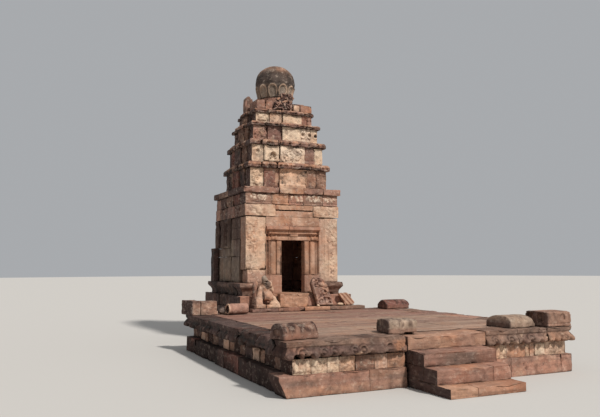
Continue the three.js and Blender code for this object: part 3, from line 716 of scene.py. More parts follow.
def build_frieze():
    piece = Piece("platform_frieze_stones", "cream_sandstone", ["platform_frieze"], "frieze")
    front = Face(0, 0.075)
    half, back = HALF - FRIEZE_IN, DEPTH - FRIEZE_IN
    left_bay = [
        (-half, -2.27, "white", "lobes", 11), (-2.27, -2.02, "white", "rings", 12),
        (-2.02, -1.83, "white", "scroll", 13), (-1.83, -1.56, "cream", "scroll", 14),
        (-1.56, -1.24, "brown", "plain", 16), (-1.24, -1.02, "buff", "bars", 17),
        (-1.02, BAY_LEFT, "tan", "scroll", 18),
    ]
    right_bay = [
        (BAY_RIGHT, 1.04, "tan", "plain", 21), (1.04, 1.12, "cream", "scroll", 22),
        (1.12, 1.27, "white", "lobes", 22), (1.27, 1.66, "tan", "plain", 23),
        (1.66, 1.76, "white", "bars", 24), (1.76, 1.87, "buff", "flutes", 24),
        (1.87, 2.09, "white", "pillars", 25), (2.09, half, "cream", "scroll", 26),
    ]
    for a, b, tone, kind, seed in left_bay + right_bay:
        # Painted shade: the left side of the corner stone, away from the light, is soot.
        corner = a < -2.5 or b > 2.5
        stone(piece, front, (a, b), (0.0, 0.45), (BASE_TOP, FRIEZE_TOP), tone,
              step=(0.012, 0.035, 0.012), rough=0.004, chip=0.008, gap=0.0002, edge=0.003,
              front=carved_block(kind, a, b, seed),
              tint=tinted((0.7, veins(13.0, seed), "clay"),
                          (0.5, cloud(7.0, 0.1, 0.4, seed), "tan"),
                          (0.45, cloud(9.0, 0.2, 0.5, seed + 30), "brown")),
              left=worn_side if corner else None, right=worn_side if corner else None,
              plain=(*BEDDED, *hidden_ends(a, b, (-half, half))), ends=("soot" if a < -2.5 else None, None))
    kinds = ["scroll", "plain", "pillars", "rings", "plain", "flutes", "scroll", "lozenge"]
    # Painted shade: the left side, away from the light, has darker stones and more grime and shade.
    for face, a, b, seed, tones, grime in (
        (Face(-half, 0, -90), -back, -0.54, 4, ["brown", "dark", "buff", "clay", "soot"], 0.14),
        (Face(half, 0, 90), 0.54, back, 5, ["cream", "tan", "pink", "buff", "mauve"], 0.02),
        (Face(0, back, 180), -2.2, -TONGUE, 6, ["tan", "brown"], 0.12),
        (Face(0, back, 180), TONGUE, 2.2, 6, ["brown", "tan"], 0.12),
    ):
        places = joints(a, b, 0.3, seed * 7)
        rng = np.random.default_rng(seed)
        for n, (s, e) in enumerate(zip(places, places[1:])):
            stone(piece, face, (s, e), (rng.uniform(0, 0.03), 0.3), (BASE_TOP, FRIEZE_TOP),
                  tones[n % len(tones)], grime=grime, plain=SUNK,
                  step=(0.021, 0.05, 0.019), rough=0.009, chip=0.035, gap=0.006,
                  front=carved_block(kinds[(n * 3 + seed) % len(kinds)], s, e, 40 + n))


def worn_side(y, z):
    return worn(y, z, 31, 0.014, 8.0)


def turn_corners(p, inward, x0, x1, reach):
    """Draws points in at the left end x0 and the right end x1 of a stone, where it has such an end."""
    for at, sign in ((x0, 1), (x1, -1)):
        if at is not None:
            p[:, 0] += sign * inward * np.clip(1 - sign * (p[:, 0] - at) / reach, 0, 1)


def drawn_in(amount, reach, x0=None, x1=None, side_reach=None):
    """A shape whose face lies amount(z) further in, on the front and at the corners it turns."""

    def shape(p):
        p = p.copy()
        inward = amount(p[:, 2])
        p[:, 1] += inward * np.clip(1 - p[:, 1] / reach, 0, 1)
        turn_corners(p, inward, x0, x1, side_reach or reach)
        return p

    return shape


EAVE_CURVE = ((0.0, 0.04), (0.015, 0.008), (0.035, 0.0), (0.07, 0.002), (0.105, 0.014), (0.14, 0.034),
              (0.16, 0.052), (0.168, 0.056), (0.176, 0.036), (0.25, 0.03))


def eave_in(z):
    """How far the eave's face lies behind its lip at each height."""
    at, back = zip(*EAVE_CURVE)
    return np.interp(z - FRIEZE_TOP, at, back)


def lobed(places):
    """How far the lip hangs down: tongues given as (centre, half width) or with a share of it."""

    def hang(x):
        out = np.zeros(len(x))
        for cx, w, *share in places:
            out = np.maximum(out, (share or [1.0])[0] * np.exp(-(((x - cx) / w) ** 4)))
        return out

    return hang


def broken(x):
    """Teeth of uneven width, as an eave has where stretches of its lip have fallen."""
    teeth = ease(np.abs(np.cos(math.pi * x / 0.21)), 0.25, 0.5)
    return teeth * ease(fbm(plane(x * 4.6, 0 * x), 1.0, 2, 57), -0.35, -0.1)


LEFT_HANG = lobed(((-2.645, 0.075), (-2.44, 0.02, 0.9), (-2.36, 0.055, 0.5), (-2.225, 0.055),
                   (-2.06, 0.09, 0.85), (-1.9, 0.09, 0.8), (-1.7, 0.13, 0.85), (-1.48, 0.16, 0.8),
                   (-1.2, 0.19, 0.85), (-0.92, 0.16, 0.8), (-0.74, 0.1, 0.9)))
RIGHT_HANG = lobed(((0.86, 0.085), (1.06, 0.06), (1.2, 0.05), (1.42, 0.09), (1.64, 0.07), (1.83, 0.09),
                    (2.0, 0.05), (2.16, 0.08), (2.32, 0.05), (2.48, 0.085), (2.68, 0.08)))


def eave_shape(hang, x0=None, x1=None, fall=0.03):
    """Rolls the front of an eave stone, and its left or right side where it turns a corner."""

    def shape(p):
        p = p.copy()
        inward = eave_in(p[:, 2])
        smooth = ease(p[:, 0], -1.8, -1.45) * ease(-0.5 - p[:, 0], 0, 0.2) * ease(p[:, 2], 0.6, 0.64)
        inward = inward * (1 - smooth) + smooth * np.interp(p[:, 2], (0.6, 0.77), (0.008, 0.06))
        droop = np.clip(1 - (p[:, 2] - FRIEZE_TOP) / 0.085, 0, 1)
        off = 1 - hang(p[:, 0])
        turn_corners(p, inward, x0, x1, EAVE_ROLL)
        outer = np.clip(1 - p[:, 1] / EAVE_ROLL, 0, 1)
        p[:, 1] += (inward + fall * 1.2 * off * droop) * outer
        p[:, 2] += fall * off * droop * outer
        return p

    return shape


ARCH_MID = 0.085


def arch_lines(kudus):
    """Where the grooves that run round the arches of an eave are painted darker."""

    def weight(p):
        h = p[:, 2] - FRIEZE_TOP
        out = np.zeros(len(p))
        for cx, r, keep in kudus:
            d = np.hypot(p[:, 0] - cx, (h - ARCH_MID) * 1.05)
            outer = ridge(d - r - 0.024, 0.011) * (h > ARCH_MID)
            out = np.maximum(out, keep * np.maximum(outer, ridge(d - r * 0.62, 0.013)))
        return out * ease(p[:, 1], 0.12, 0.08)

    return weight


def kudu(x, h, cx, r, keep):
    """A horseshoe arch with curled feet and a boss inside, standing on the rolled eave."""
    d = np.hypot(x - cx, (h - ARCH_MID) * 1.05)
    ringed = ridge(d - r, 0.014) * (h > 0.035)
    feet = ridge(np.hypot(np.abs(x - cx) - r * 1.3, h - 0.04), 0.016)
    boss = ridge(np.hypot(x - cx, h - ARCH_MID), r * 0.45)
    hollow = ease(r - 0.014 - d, 0, 0.012)
    return keep * (0.022 * np.maximum(np.maximum(ringed, feet), boss) - 0.012 * hollow * (1 - boss))


def eave_carving(kudus, hang):
    """Carving of an eave: the lobes of its lip, its arches, a groove and a worn surface."""

    def heights(x, z):
        h = z - FRIEZE_TOP
        out = 0.018 * hang(x) * ease(0.11 - h, -0.02, 0.03)
        out += squiggles(x, z, (-2.3, -1.45, 0.53, 0.69), 10.0, 57, 0.012)
        for cx, r, keep in kudus:
            out += kudu(x, h, cx, r, keep)
        out -= 0.01 * ridge(h - 0.125, 0.006) * (h < 0.16)
        return out + worn(x, z, 51, 0.01, 6.0) * (h < 0.16) + worn(x, z, 52, 0.006, 4.0) * (h > 0.17)

    return heights


def spaced(start, end, pitch, seed):
    """Arches along a side: (place, radius, how much of it is left)."""
    rng = np.random.default_rng(seed)
    return [(c + rng.uniform(-0.03, 0.03), rng.uniform(0.06, 0.078), rng.uniform(0.2, 1))
            for c in np.arange(start, end, pitch)]


LEFT_KUDUS = ((-2.45, 0.075, 1.0), (-2.11, 0.06, 1.0), (-1.94, 0.065, 1.0), (-1.62, 0.055, 1.0),
              (-1.47, 0.065, 1.0), (-1.02, 0.08, 0.8), (-0.86, 0.05, 0.6))
RIGHT_KUDUS = ((0.97, 0.055, 0.8), (1.3, 0.065, 1.0), (1.73, 0.07, 0.9), (2.08, 0.06, 0.9),
               (2.48, 0.055, 1.0))


def slab_top(x, y):
    return 0.006 * fbm(plane(x, y), 2.0, 3, 61)


def build_eaves():
    deep, zr, lip = EAVE_DEEP, (FRIEZE_TOP, TOP), HALF + EAVE_OUT
    fine = dict(step=(0.0125, 0.06, 0.0105), rough=0.008, chip=0.02, edge=0.014, top=slab_top, gap=0.0004)
    coarse = dict(step=(0.02, 0.09, 0.0125), rough=0.012, chip=0.06, edge=0.014, top=slab_top, gap=0.003)
    face = Face(0, -EAVE_OUT)
    side_kudus = spaced(0.3, 0.5, 0.5, 1)
    roll = along(2, 0.695, 0.675)
    bay_end = along(0, -1.0, -0.9)
    left_tint = tinted(
        (0.8, both(roll, along(0, -2.2, -2.0), along(0, -1.75, -1.9)), "wine"),
        (0.6, both(roll, along(0, -2.2, -2.35)), "base"),
        (0.7, both(roll, lambda p: ease(0.12 - np.abs(p[:, 0] + 1.6), 0, 0.05),
                   cloud(14.0, 0.15, 0.4, 59)), "cream"),
        (0.95, both(lambda p: ease(p[:, 0] + 0.2 * fbm(p, 5.0, 2, 58), -1.5, -1.36),
                    along(0, -1.1, -1.24)), "black"),
        (0.8, both(roll, cloud(8.0, -0.25, 0.15, 61)), "dark"),
        (0.85, arch_lines(LEFT_KUDUS), "soot"),
        (0.6, both(bay_end, along(2, 0.74, 0.69)), "orange"),
        (0.7, both(bay_end, cloud(10.0, 0.05, 0.3, 60)), "dark"),
        (0.5, cloud(4.0, -0.1, 0.3, 53), "brown"))
    piece = Piece("eave_stones_front_left", "brown_sandstone", ["platform_eave_front_left"], "eave")
    # Painted shade: the left end of this stone, where it turns onto the side away from the light, is soot.
    stone(piece, face, (-lip, BAY_LEFT), (0, deep + EAVE_OUT), zr, "eave", grime=0.06, tint=left_tint,
          front=eave_carving(LEFT_KUDUS, LEFT_HANG), left=eave_carving(side_kudus, broken),
          ends=("soot", None), shape=eave_shape(LEFT_HANG, -lip, fall=0.075), **fine)
    right_tint = tinted((0.6, both(roll, cloud(3.0, -0.1, 0.3, 54)), "mauve"),
                        (0.8, arch_lines(RIGHT_KUDUS), "soot"),
                        (0.4, both(roll, along(0, 1.9, 2.2)), "tan"),
                        (0.6, both(roll, cloud(9.0, 0.25, 0.5, 55)), "cream"))
    piece = Piece("eave_stones_front_right", "brown_sandstone", ["platform_eave_front_right"], "eave")
    for a, b, grime in ((BAY_RIGHT, 1.44, 0.06), (1.44, 2.1, 0.12), (2.1, HALF, 0.03)):
        last = b == HALF
        stone(piece, face, (a, b), (0, deep + EAVE_OUT), zr, "eave", grime=grime, tint=right_tint,
              plain=("back", *hidden_ends(a, b, (BAY_RIGHT, HALF))),
              front=eave_carving(RIGHT_KUDUS, RIGHT_HANG),
              right=eave_carving(side_kudus, broken) if last else None,
              shape=eave_shape(RIGHT_HANG, None, b if last else None), **fine)
    back = DEPTH + EAVE_OUT
    # Painted shade: the left side, away from the light, has dark and soot stones and more grime and shade.
    for side, face, places, tones, grime in (
        ("left", Face(-lip, 0, -90), joints(-back, -deep, 0.9, 8), ["dark", "soot", "dark"], 0.36),
        ("right", Face(HALF, 0, 90), joints(deep, back, 0.9, 9), ["mauve", "eave", "pinkish"], 0.12),
    ):
        piece = Piece(f"eave_stones_{side}", "weathered_dark_stone", [f"platform_eave_{side}"], "eave")
        kudus = spaced(min(places) + 0.2, max(places), 0.47, 58)
        for n, (a, b) in enumerate(zip(places, places[1:])):
            first, last = side == "left" and a == places[0], side == "right" and b == places[-1]
            stone(piece, face, (a, b), (0, deep + EAVE_OUT), zr, tones[n % 3], grime=grime,
                  plain=("back", *hidden_ends(a, b, places)), front=eave_carving(kudus, broken),
                  shape=eave_shape(broken, a if first else None, b if last else None, 0.055), **coarse)
        a, b = (TONGUE, lip - deep) if side == "left" else (-lip + deep, -TONGUE)
        course(piece, Face(0, back, 180), joints(a, b, 0.4, 12), (0, deep), zr, ["brown", "mauve"],
               grime=0.25, front=eave_carving((), broken), shape=eave_shape(broken), **coarse)


def build_paving():
    piece = Piece("platform_paving_slabs", "pink_sandstone", ["platform_paving"], "paving")
    rows = [0.48, 1.12, 1.86, 2.55, 3.3, 3.98, 4.72, 5.3, DEPTH]
    edge = HALF - EAVE_DEEP
    face = Face(0, 0)
    streaky = tinted((0.7, along(1, 2.9, 3.9), "paving_red"), (0.4, along(1, 3.4, 2.6), "paving_grey"),
                     (0.4, cloud(1.0, 0.0, 0.4, 62, (0.35, 3.0, 1)), "paving_red"),
                     (0.4, cloud(1.0, 0.1, 0.4, 63, (0.3, 3.5, 1)), "paving_grey"))
    for n, (a, b) in enumerate(zip(rows, rows[1:])):
        last = n == len(rows) - 2
        span = TONGUE if last else edge
        places = joints(-span, span, 1.5, 20 + n)
        for m, (s, e) in enumerate(zip(places, places[1:])):
            rng = np.random.default_rng(n * 31 + m)
            stone(piece, face, (s, e), (a + 0.001, b - 0.001), (FILLET, TOP + rng.uniform(-0.005, 0.0)),
                  "paving", step=(0.06, 0.05, 0.04), edge=0.006, rough=0.004, tint=streaky, chip=0.006,
                  gap=0.0015, lean=0.001, plain=OPEN_TOP, top=slab_top)


def worn_tread(x0, x1, y0, depth):
    """A tread that is trodden hollow along its front edge."""

    def shape(p):
        p = p.copy()
        t = (p[:, 0] - x0) / (x1 - x0)
        dip = np.clip(np.sin(math.pi * np.clip(t, 0, 1)), 0, 1) ** 0.8
        nosing = np.clip(1 - (p[:, 1] - y0) / 0.3, 0, 1)
        top = np.clip((p[:, 2] - p[:, 2].min()) / max(np.ptp(p[:, 2]), 1e-6), 0, 1) ** 2
        p[:, 2] -= depth * dip * nosing * top
        return p

    return shape


def tread_face(x, z):
    return worn(x, z, 71, 0.012, 4.5) + bands(z, (0.25, 0.45), 0.01, 0.003)


STEP_LEFT, STEP_RIGHT, STEP_BACK = -0.668, 0.682, 0.19
STEPS = (
    dict(front=-0.96, seam=-0.62, z=(0.0, 0.137), tones=("tan", "base_low"),
         joints=([-0.195], [-0.2, 0.25]), tint=tinted((0.5, cloud(2.5, 0.0, 0.4, 72), "pinkish"))),
    dict(front=-0.66, seam=-0.33, z=(0.137, 0.348), tones=("base", "pinkish"),
         joints=([0.353], [0.0]), tint=tinted((0.5, cloud(2.0, 0.0, 0.4, 73, (1, 1, 4)), "orange"),
                                              (0.4, cloud(3.0, 0.2, 0.5, 74), "grey"))),
    dict(front=-0.354, seam=-0.05, z=(0.348, 0.551), tones=("base", "base"),
         joints=([], [0.3]), tint=tinted(
             (0.85, both(lambda p: 1 - ease(np.abs(p[:, 0] + 0.02), 0.2, 0.5), along(2, 0.54, 0.51)), "grey"),
             (0.5, cloud(2.5, 0.0, 0.4, 75), "mauve"))),
)


def build_steps():
    """Each step is a front row of stones and a row behind it that the next step covers."""
    options = dict(step=(0.02, 0.03, 0.016), rough=0.008, chip=0.012, edge=0.012, gap=0.0006)
    for n, step in enumerate(STEPS):
        piece = Piece(f"step_{n + 1}_stones", "pink_sandstone", [f"step_{n + 1}"], "steps")
        shape = worn_tread(STEP_LEFT, STEP_RIGHT, step["front"], 0.014)
        rows = ((step["front"], step["seam"], ("back", "bottom")),
                (step["seam"], STEP_BACK, ("front", "back", "bottom")))
        for (y0, y1, buried), inner in zip(rows, step["joints"]):
            places = [STEP_LEFT, *inner, STEP_RIGHT]
            for m, (a, b) in enumerate(zip(places, places[1:])):
                # Painted shade: the left end of each row, which faces away from the light, is dark.
                stone(piece, Face(0, 0), (a, b), (y0 + 0.001, y1), step["z"], step["tones"][m % 2],
                      front=tread_face, left=tread_face, plain=(*buried, *hidden_ends(a, b, places)),
                      ends=("dark" if m == 0 else None, None), tint=step["tint"], shape=shape, **options)
    piece = Piece("top_step_slab", "tan_sandstone", ["top_step_stone"], "steps")
    left, right = -0.7, 0.775
    tint = tinted((0.5, cloud(1.5, 0.0, 0.4, 76, (1, 1, 3)), "tan"), (0.4, cloud(3.0, 0.2, 0.4, 77), "mauve"))
    stone(piece, Face(0, 0), (left, right), (0.0, EAVE_DEEP), (0.551, 0.757), "topstep", tint=tint,
          front=tread_face, top=slab_top, plain=("back", "bottom"), shape=worn_tread(left, right, 0.0, 0.03),
          **options)


# Tower base

PLINTH_TOP, COURSE_TOP, MOULD_TOP = 0.85, 1.115, 1.41
# Half the width of the door frame, which the moulding and the front walls leave open.
FRAME_HALF = 0.7


def filler(piece, y, half, deep, zr, tone, step=0.2, plain=HIDDEN):
    """Plain masonry behind the facing stones."""
    stone(piece, Face(0, y), (-half, half), (0, deep), zr, tone, step=step, plain=plain)


def build_tower_base():
    piece = Piece("tower_plinth_stones", "weathered_dark_stone", ["tower_plinth"], "dressed")
    thick, front_end = 0.4, 1.4497
    rows = ((0, BASE_TOP, 0.05), (BASE_TOP, 0.58, 0.0), (0.58, PLINTH_TOP, 0.0))
    for n, (z0, z1, out) in enumerate(rows):
        faces = ring_faces(1.44 + out, 1.43 + out)
        for m, (name, (face, half)) in enumerate(faces.items()):
            if name == "front":
                continue
            reach = {"back": (-half, half), "left": (-half + thick, front_end),
                     "right": (-front_end, half - thick)}[name]
            # Painted shade: the left side, away from the light, gets more grime and shade.
            course(piece, face, joints(*reach, 0.62, n * 5 + m), (0, thick), (z0, z1),
                   ["brown", "dark", "mauve"], grime=0.35 if name == "left" else 0.12, front=base_face,
                   plain=BEDDED if n else ("back", "bottom"),
                   step=(0.05, 0.08, 0.035), rough=0.01, chip=0.03, edge=0.014)
        filler(piece, 5.5803, 1.44, 0.39, (z0, z1), "brown", (0.12, 0.15, 0.1), SUNK)

    piece = Piece("tower_kerb_stones", "pink_sandstone", ["tower_kerb"], "base")
    course(piece, Face(0, 5.3), [-1.24, -0.62, 0.05, 0.71, 1.65], (0, 0.28), (TOP, PLINTH_TOP),
           ["mauve", "base", "tan", "eave"], step=(0.03, 0.04, 0.018), rough=0.006, chip=0.02,
           edge=0.01, top=slab_top)

    piece = Piece("tower_base_course_stones", "brown_sandstone", ["tower_base_course"], "dressed")
    fine = dict(step=(0.024, 0.05, 0.02), rough=0.012, chip=0.035, edge=0.014, gap=0.001, front=base_face)
    rust = tinted((0.5, cloud(3.0, 0.0, 0.4, 481), "base_low"), (0.6, cloud(4.0, 0.1, 0.4, 482), "mauve"))
    shade = tinted((0.85, cloud(2.0, -0.4, 0.1, 483, (1, 1, 2)), "shadow"),
                   (0.3, cloud(3.0, 0.1, 0.4, 484), "mauve"))
    tints = {"front": rust, "left": shade}
    # Painted shade: the left side, away from the light, has dark stones in shadow tones and more grime and
    # shade.
    ring_course(piece, 1.435, 1.43, PLINTH_TOP, COURSE_TOP, thick, 0.8, fine,
                {"front": ["pinkish", "base_low", "pinkish"], "left": ["dark", "brown"],
                 "right": ["rose", "mauve", "base"], "back": ["brown", "mauve"]},
                {"front": 0.02, "left": 0.2, "right": 0.08, "back": 0.15}, tints=tints)
    filler(piece, 6.0, 1.03, 2.06, (PLINTH_TOP, 1.113), "brown", plain=OPEN_TOP)

    piece = Piece("tower_base_moulding_stones", "brown_sandstone", ["tower_base_moulding"], "base")
    fine = dict(step=(0.026, 0.06, 0.014), rough=0.009, chip=0.04, edge=0.012, gap=0.001)
    # Painted shade: the left side, away from the light, has dark stones and more grime and shade.
    tones = {"front": ["brown", "base"], "left": ["dark", "brown"],
             "right": ["mauve", "base"], "back": ["brown", "mauve"]}
    ring_course(piece, 1.3, 1.31, COURSE_TOP, MOULD_TOP, 0.45, 0.8, fine, tones,
                {"front": 0.05, "left": 0.4, "right": 0.1, "back": 0.15},
                shape=lambda x0, x1: drawn_in(moulding_in, 0.42, x0, x1),
                gap_front=FRAME_HALF, tints=tints, left_out=0.1)


def moulding_in(z):
    at = (0, 0.03, 0.1, 0.15, 0.185, 0.215, 0.27, 0.295)
    back = (0.085, 0.095, 0.085, 0.05, 0.015, 0.0, 0.0, 0.012)
    return np.interp(z - COURSE_TOP, at, back)


def ring_course(piece, half_x, half_y, z0, z1, depth, about, options, tones, grimes, tints,
                shape=None, gap_front=None, places=None, left_out=0.0):
    """A course of stones round the tower. Front and back stones turn the corners. gap_front is
    half the width of the opening in the front, and left_out moves the left side out."""
    faces = ring_faces(half_x, half_y)
    faces["left"] = (Face(-half_x - left_out, TOWER_Y, -90), half_y)
    for n, (name, (face, half)) in enumerate(faces.items()):
        turns = name in ("front", "back")
        a, b = (-half, half) if turns else (-half + depth, half - depth)
        if name == "front":
            a -= left_out
        elif name == "back":
            b += left_out
        spans = [(a, b)]
        if name == "front" and gap_front is not None:
            spans = [(a, -gap_front), (gap_front, b)]
        for m, (s, e) in enumerate(spans):
            cuts = (places or {}).get(name) or joints(s, e, about, int(z0 * 50) + n * 3 + m)
            for t, (u, v) in enumerate(zip(cuts, cuts[1:])):
                tone = tones[name][t % len(tones[name])]
                first, last = turns and u == a, turns and v == b
                grime = grimes[name]
                if name == "back" and last:
                    grime = (grime + grimes["left"]) / 2
                # Painted shade: the front and back stones that turn onto the tower's left side, away from the
                # light, are dark there.
                ends = ("dark" if name == "front" and first else None,
                        "dark" if name == "back" and last else None)
                deep = depth + left_out * (name == "left")
                plain = ("back", "bottom", *(hidden_ends(u, v, (a, b)) if turns else ("left", "right")))
                stone(piece, face, (u, v), (0, deep), (z0, z1), tone, grime=grime, ends=ends, plain=plain,
                      shape=shape(u if first else None, v if last else None) if shape else None,
                      tint=tints.get(name), left=options.get("front") if first else None,
                      right=options.get("front") if last else None, **options)


# Shrine room

WALL_TOP, WALL_DEEP, WALL_X, WALL_Y = 2.985, 0.36, 1.21, 1.15
BAND_FOOT, BAND_TOP = 2.03, 2.25
DOOR_HALF, SILL, LINTEL_FOOT, LINTEL_TOP = 0.3, 1.156, 2.42, 2.75


def front_left_face(x, z):
    """Carved pilaster at the corner, then a plain strip up to the door frame."""
    out = 0.012 * ease(-0.908 - x, -0.004, 0.004)
    for box, scale, seed, depth in (((-1.18, -0.95, 1.95, 2.74), 9.0, 81, 0.02),
                                    ((-1.15, -0.95, 1.5, 1.95), 7.0, 82, 0.01),
                                    ((-1.19, -0.9, 2.79, 2.97), 10.0, 83, 0.016)):
        out += squiggles(x, z, box, scale, seed, depth)
    out += bands(z, (2.763,), 0.012, 0.01) * (x < -0.9)
    out -= 0.014 * ridge(x + 0.925, 0.009) * ease(z, 1.95, 2.05)
    out -= 0.01 * ridge(x + 0.735, 0.012) * ease(2.3 - z, 0, 0.3)
    return out + worn(x, z, 84, 0.01, 7.0)


def front_right_face(x, z):
    """A plain strip, then a pilaster with lozenges above and a row of small bosses below."""
    out = 0.012 * ease(x - 0.845, -0.004, 0.004)
    t = np.abs(((x - 0.9) / 0.11) % 1 - 0.5) * 2
    s = np.abs(((z - 2.6) / 0.13) % 1 - 0.5) * 2
    inside = ease(x, 0.9, 0.93) * ease(1.19 - x, 0, 0.03) * ease(z, 2.6, 2.63) * ease(2.9 - z, 0, 0.03)
    out += 0.013 * ridge(t + s - 1, 0.2) * inside
    out += squiggles(x, z, (0.9, 1.18, 2.2, 2.58), 9.0, 86, 0.018)
    for n in range(7):
        at = 2.1 - n * 0.098
        out -= 0.016 * ridge(x - 1.02, 0.022) * ridge(z - at, 0.022)
        out -= 0.012 * ridge(x - 1.09, 0.016) * ridge(z - at + 0.04, 0.02)
    out += squiggles(x, z, (0.97, 1.13, 1.45, 2.15), 12.0, 85, 0.012)
    out -= 0.01 * ridge(x - 0.8, 0.012)
    return out + worn(x, z, 87, 0.008, 7.0)


def left_front_tones():
    """Tones over the stones left of the door: cream pilaster, tan strip, redder low down."""
    lines = cloud(11.0, 0.02, 0.28, 401, (1, 1, 0.8))
    return tinted(
        (0.6, along(0, -0.9, -0.8), "cream"),
        (0.3, both(along(0, -0.76, -0.7), along(2, 2.1, 1.6)), "tan"),
        (0.7, both(lines, along(0, -0.9, -0.93), along(2, 1.9, 2.2)), "tan"),
        (0.75, along(2, 1.75, 1.6), "pinkish"),
        (0.7, both(near(0, -1.05, 0.07), cloud(15.0, 0.14, 0.34, 404, (1.4, 1, 0.6))), "brown"),
        (0.5, cloud(3.0, 0.1, 0.4, 402, (1, 1, 2)), "white"),
        (0.5, cloud(2.6, 0.1, 0.45, 403, (1, 1, 0.6)), "pinkish"))


def right_front_tones():
    lines = cloud(11.0, 0.02, 0.28, 411, (1, 1, 0.8))
    return tinted(
        (0.7, along(0, 0.88, 0.74), "buff"),
        (0.6, both(lines, along(0, 0.9, 0.95)), "tan"),
        (0.8, both(near(0, 1.06, 0.06), cloud(15.0, 0.16, 0.34, 414, (1.4, 1, 0.7))), "wine"),
        (0.6, along(2, 1.65, 1.45), "buff"),
        (0.5, cloud(3.0, 0.1, 0.4, 412, (1, 1, 2)), "white"),
        (0.4, cloud(2.6, 0.1, 0.45, 413, (1, 1, 0.5)), "pinkish"))


def plain_wall(x, z):
    return worn(x, z, 88, 0.006, 5.0)


WORN_ENDS = dict(left=plain_wall, right=plain_wall)


def fluted_wall(x, z):
    return flutes(x, 0.13, 0.022) + worn(x, z, 89, 0.01, 6.0)


def ribbed_wall(x, z):
    out = flutes(x, 0.078, 0.02)
    return out + bands(z, (2.33, 2.62, 2.9), 0.016, 0.012) + worn(x, z, 90, 0.008, 6.0)


def niche_wall(cx, half=0.17):
    """A tall niche between two slim pilasters."""
    z0, z1 = BAND_TOP, WALL_TOP

    def heights(x, z):
        inside = ease(half - np.abs(x - cx), 0, 0.012) * ease(z, z0 + 0.06, z0 + 0.075)
        inside *= ease(z1 - 0.1 - z, 0, 0.012)
        slim = ridge(np.abs(x - cx) - half - 0.05, 0.03)
        cap = ridge(z - z1 + 0.06, 0.03) + ridge(z - z0 - 0.03, 0.025)
        out = -0.055 * inside + 0.03 * slim + 0.022 * cap * (np.abs(x - cx) < half + 0.1)
        figure = ridge(x - cx, 0.06) * ridge(z - (z0 + z1) / 2 + 0.05, 0.16)
        return out + 0.035 * figure * inside + worn(x, z, 91, 0.008, 6.0)

    return heights


def streaked(light, dark, seed):
    """Upright rain streaks over a wall in the shade."""
    return tinted((0.8, cloud(1.0, -0.15, 0.35, seed, (7.0, 7.0, 0.7)), dark),
                  (0.6, cloud(1.0, 0.05, 0.45, seed + 1, (4.0, 4.0, 0.9)), light),
                  (0.6, cloud(1.6, 0.0, 0.4, seed + 2), dark))


# The stones of a side wall: reach along it from the back, foot, top, carving and how far it stands out.
SIDE_STONES = (
    (-1.15, -0.5, MOULD_TOP, BAND_FOOT, fluted_wall, 0.0),
    (-0.5, 0.14, MOULD_TOP, BAND_FOOT, plain_wall, 0.02),
    (0.14, 0.79, MOULD_TOP, BAND_FOOT, plain_wall, 0.02),
    (-1.15, -0.62, BAND_FOOT, BAND_TOP, plain_wall, 0.0),
    (-0.62, 0.1, BAND_FOOT, BAND_TOP, plain_wall, 0.02),
    (0.1, 0.79, BAND_FOOT, 2.45, plain_wall, 0.01),
    (-1.15, -0.86, BAND_TOP, WALL_TOP, ribbed_wall, 0.04),
    (-0.86, -0.5, BAND_TOP, WALL_TOP, fluted_wall, 0.0),
    (-0.5, 0.1, BAND_TOP, WALL_TOP, niche_wall(-0.2, 0.14), 0.03),
    (0.1, 0.79, 2.45, 2.72, plain_wall, 0.0),
    (0.1, 0.42, 2.72, WALL_TOP, plain_wall, 0.0),
    (0.42, 0.79, 2.72, WALL_TOP, plain_wall, 0.0),
)


def side_wall(piece, face, sign, tones, tint, step=0.026):
    """Stones of a side wall. sign is 1 where local x grows towards the front of the tower."""
    tones = itertools.cycle(tones)
    for a, b, z0, z1, carving, out in SIDE_STONES:
        stone(piece, face, sorted((sign * a, sign * b)), (-out, WALL_DEEP), (z0, z1), next(tones),
              step=(step, 0.07, step), rough=0.006, chip=0.02, edge=0.008, gap=0.0016, grime=0.03,
              front=lambda x, z, carving=carving: carving(sign * x, z), plain=SUNK, tint=tint)


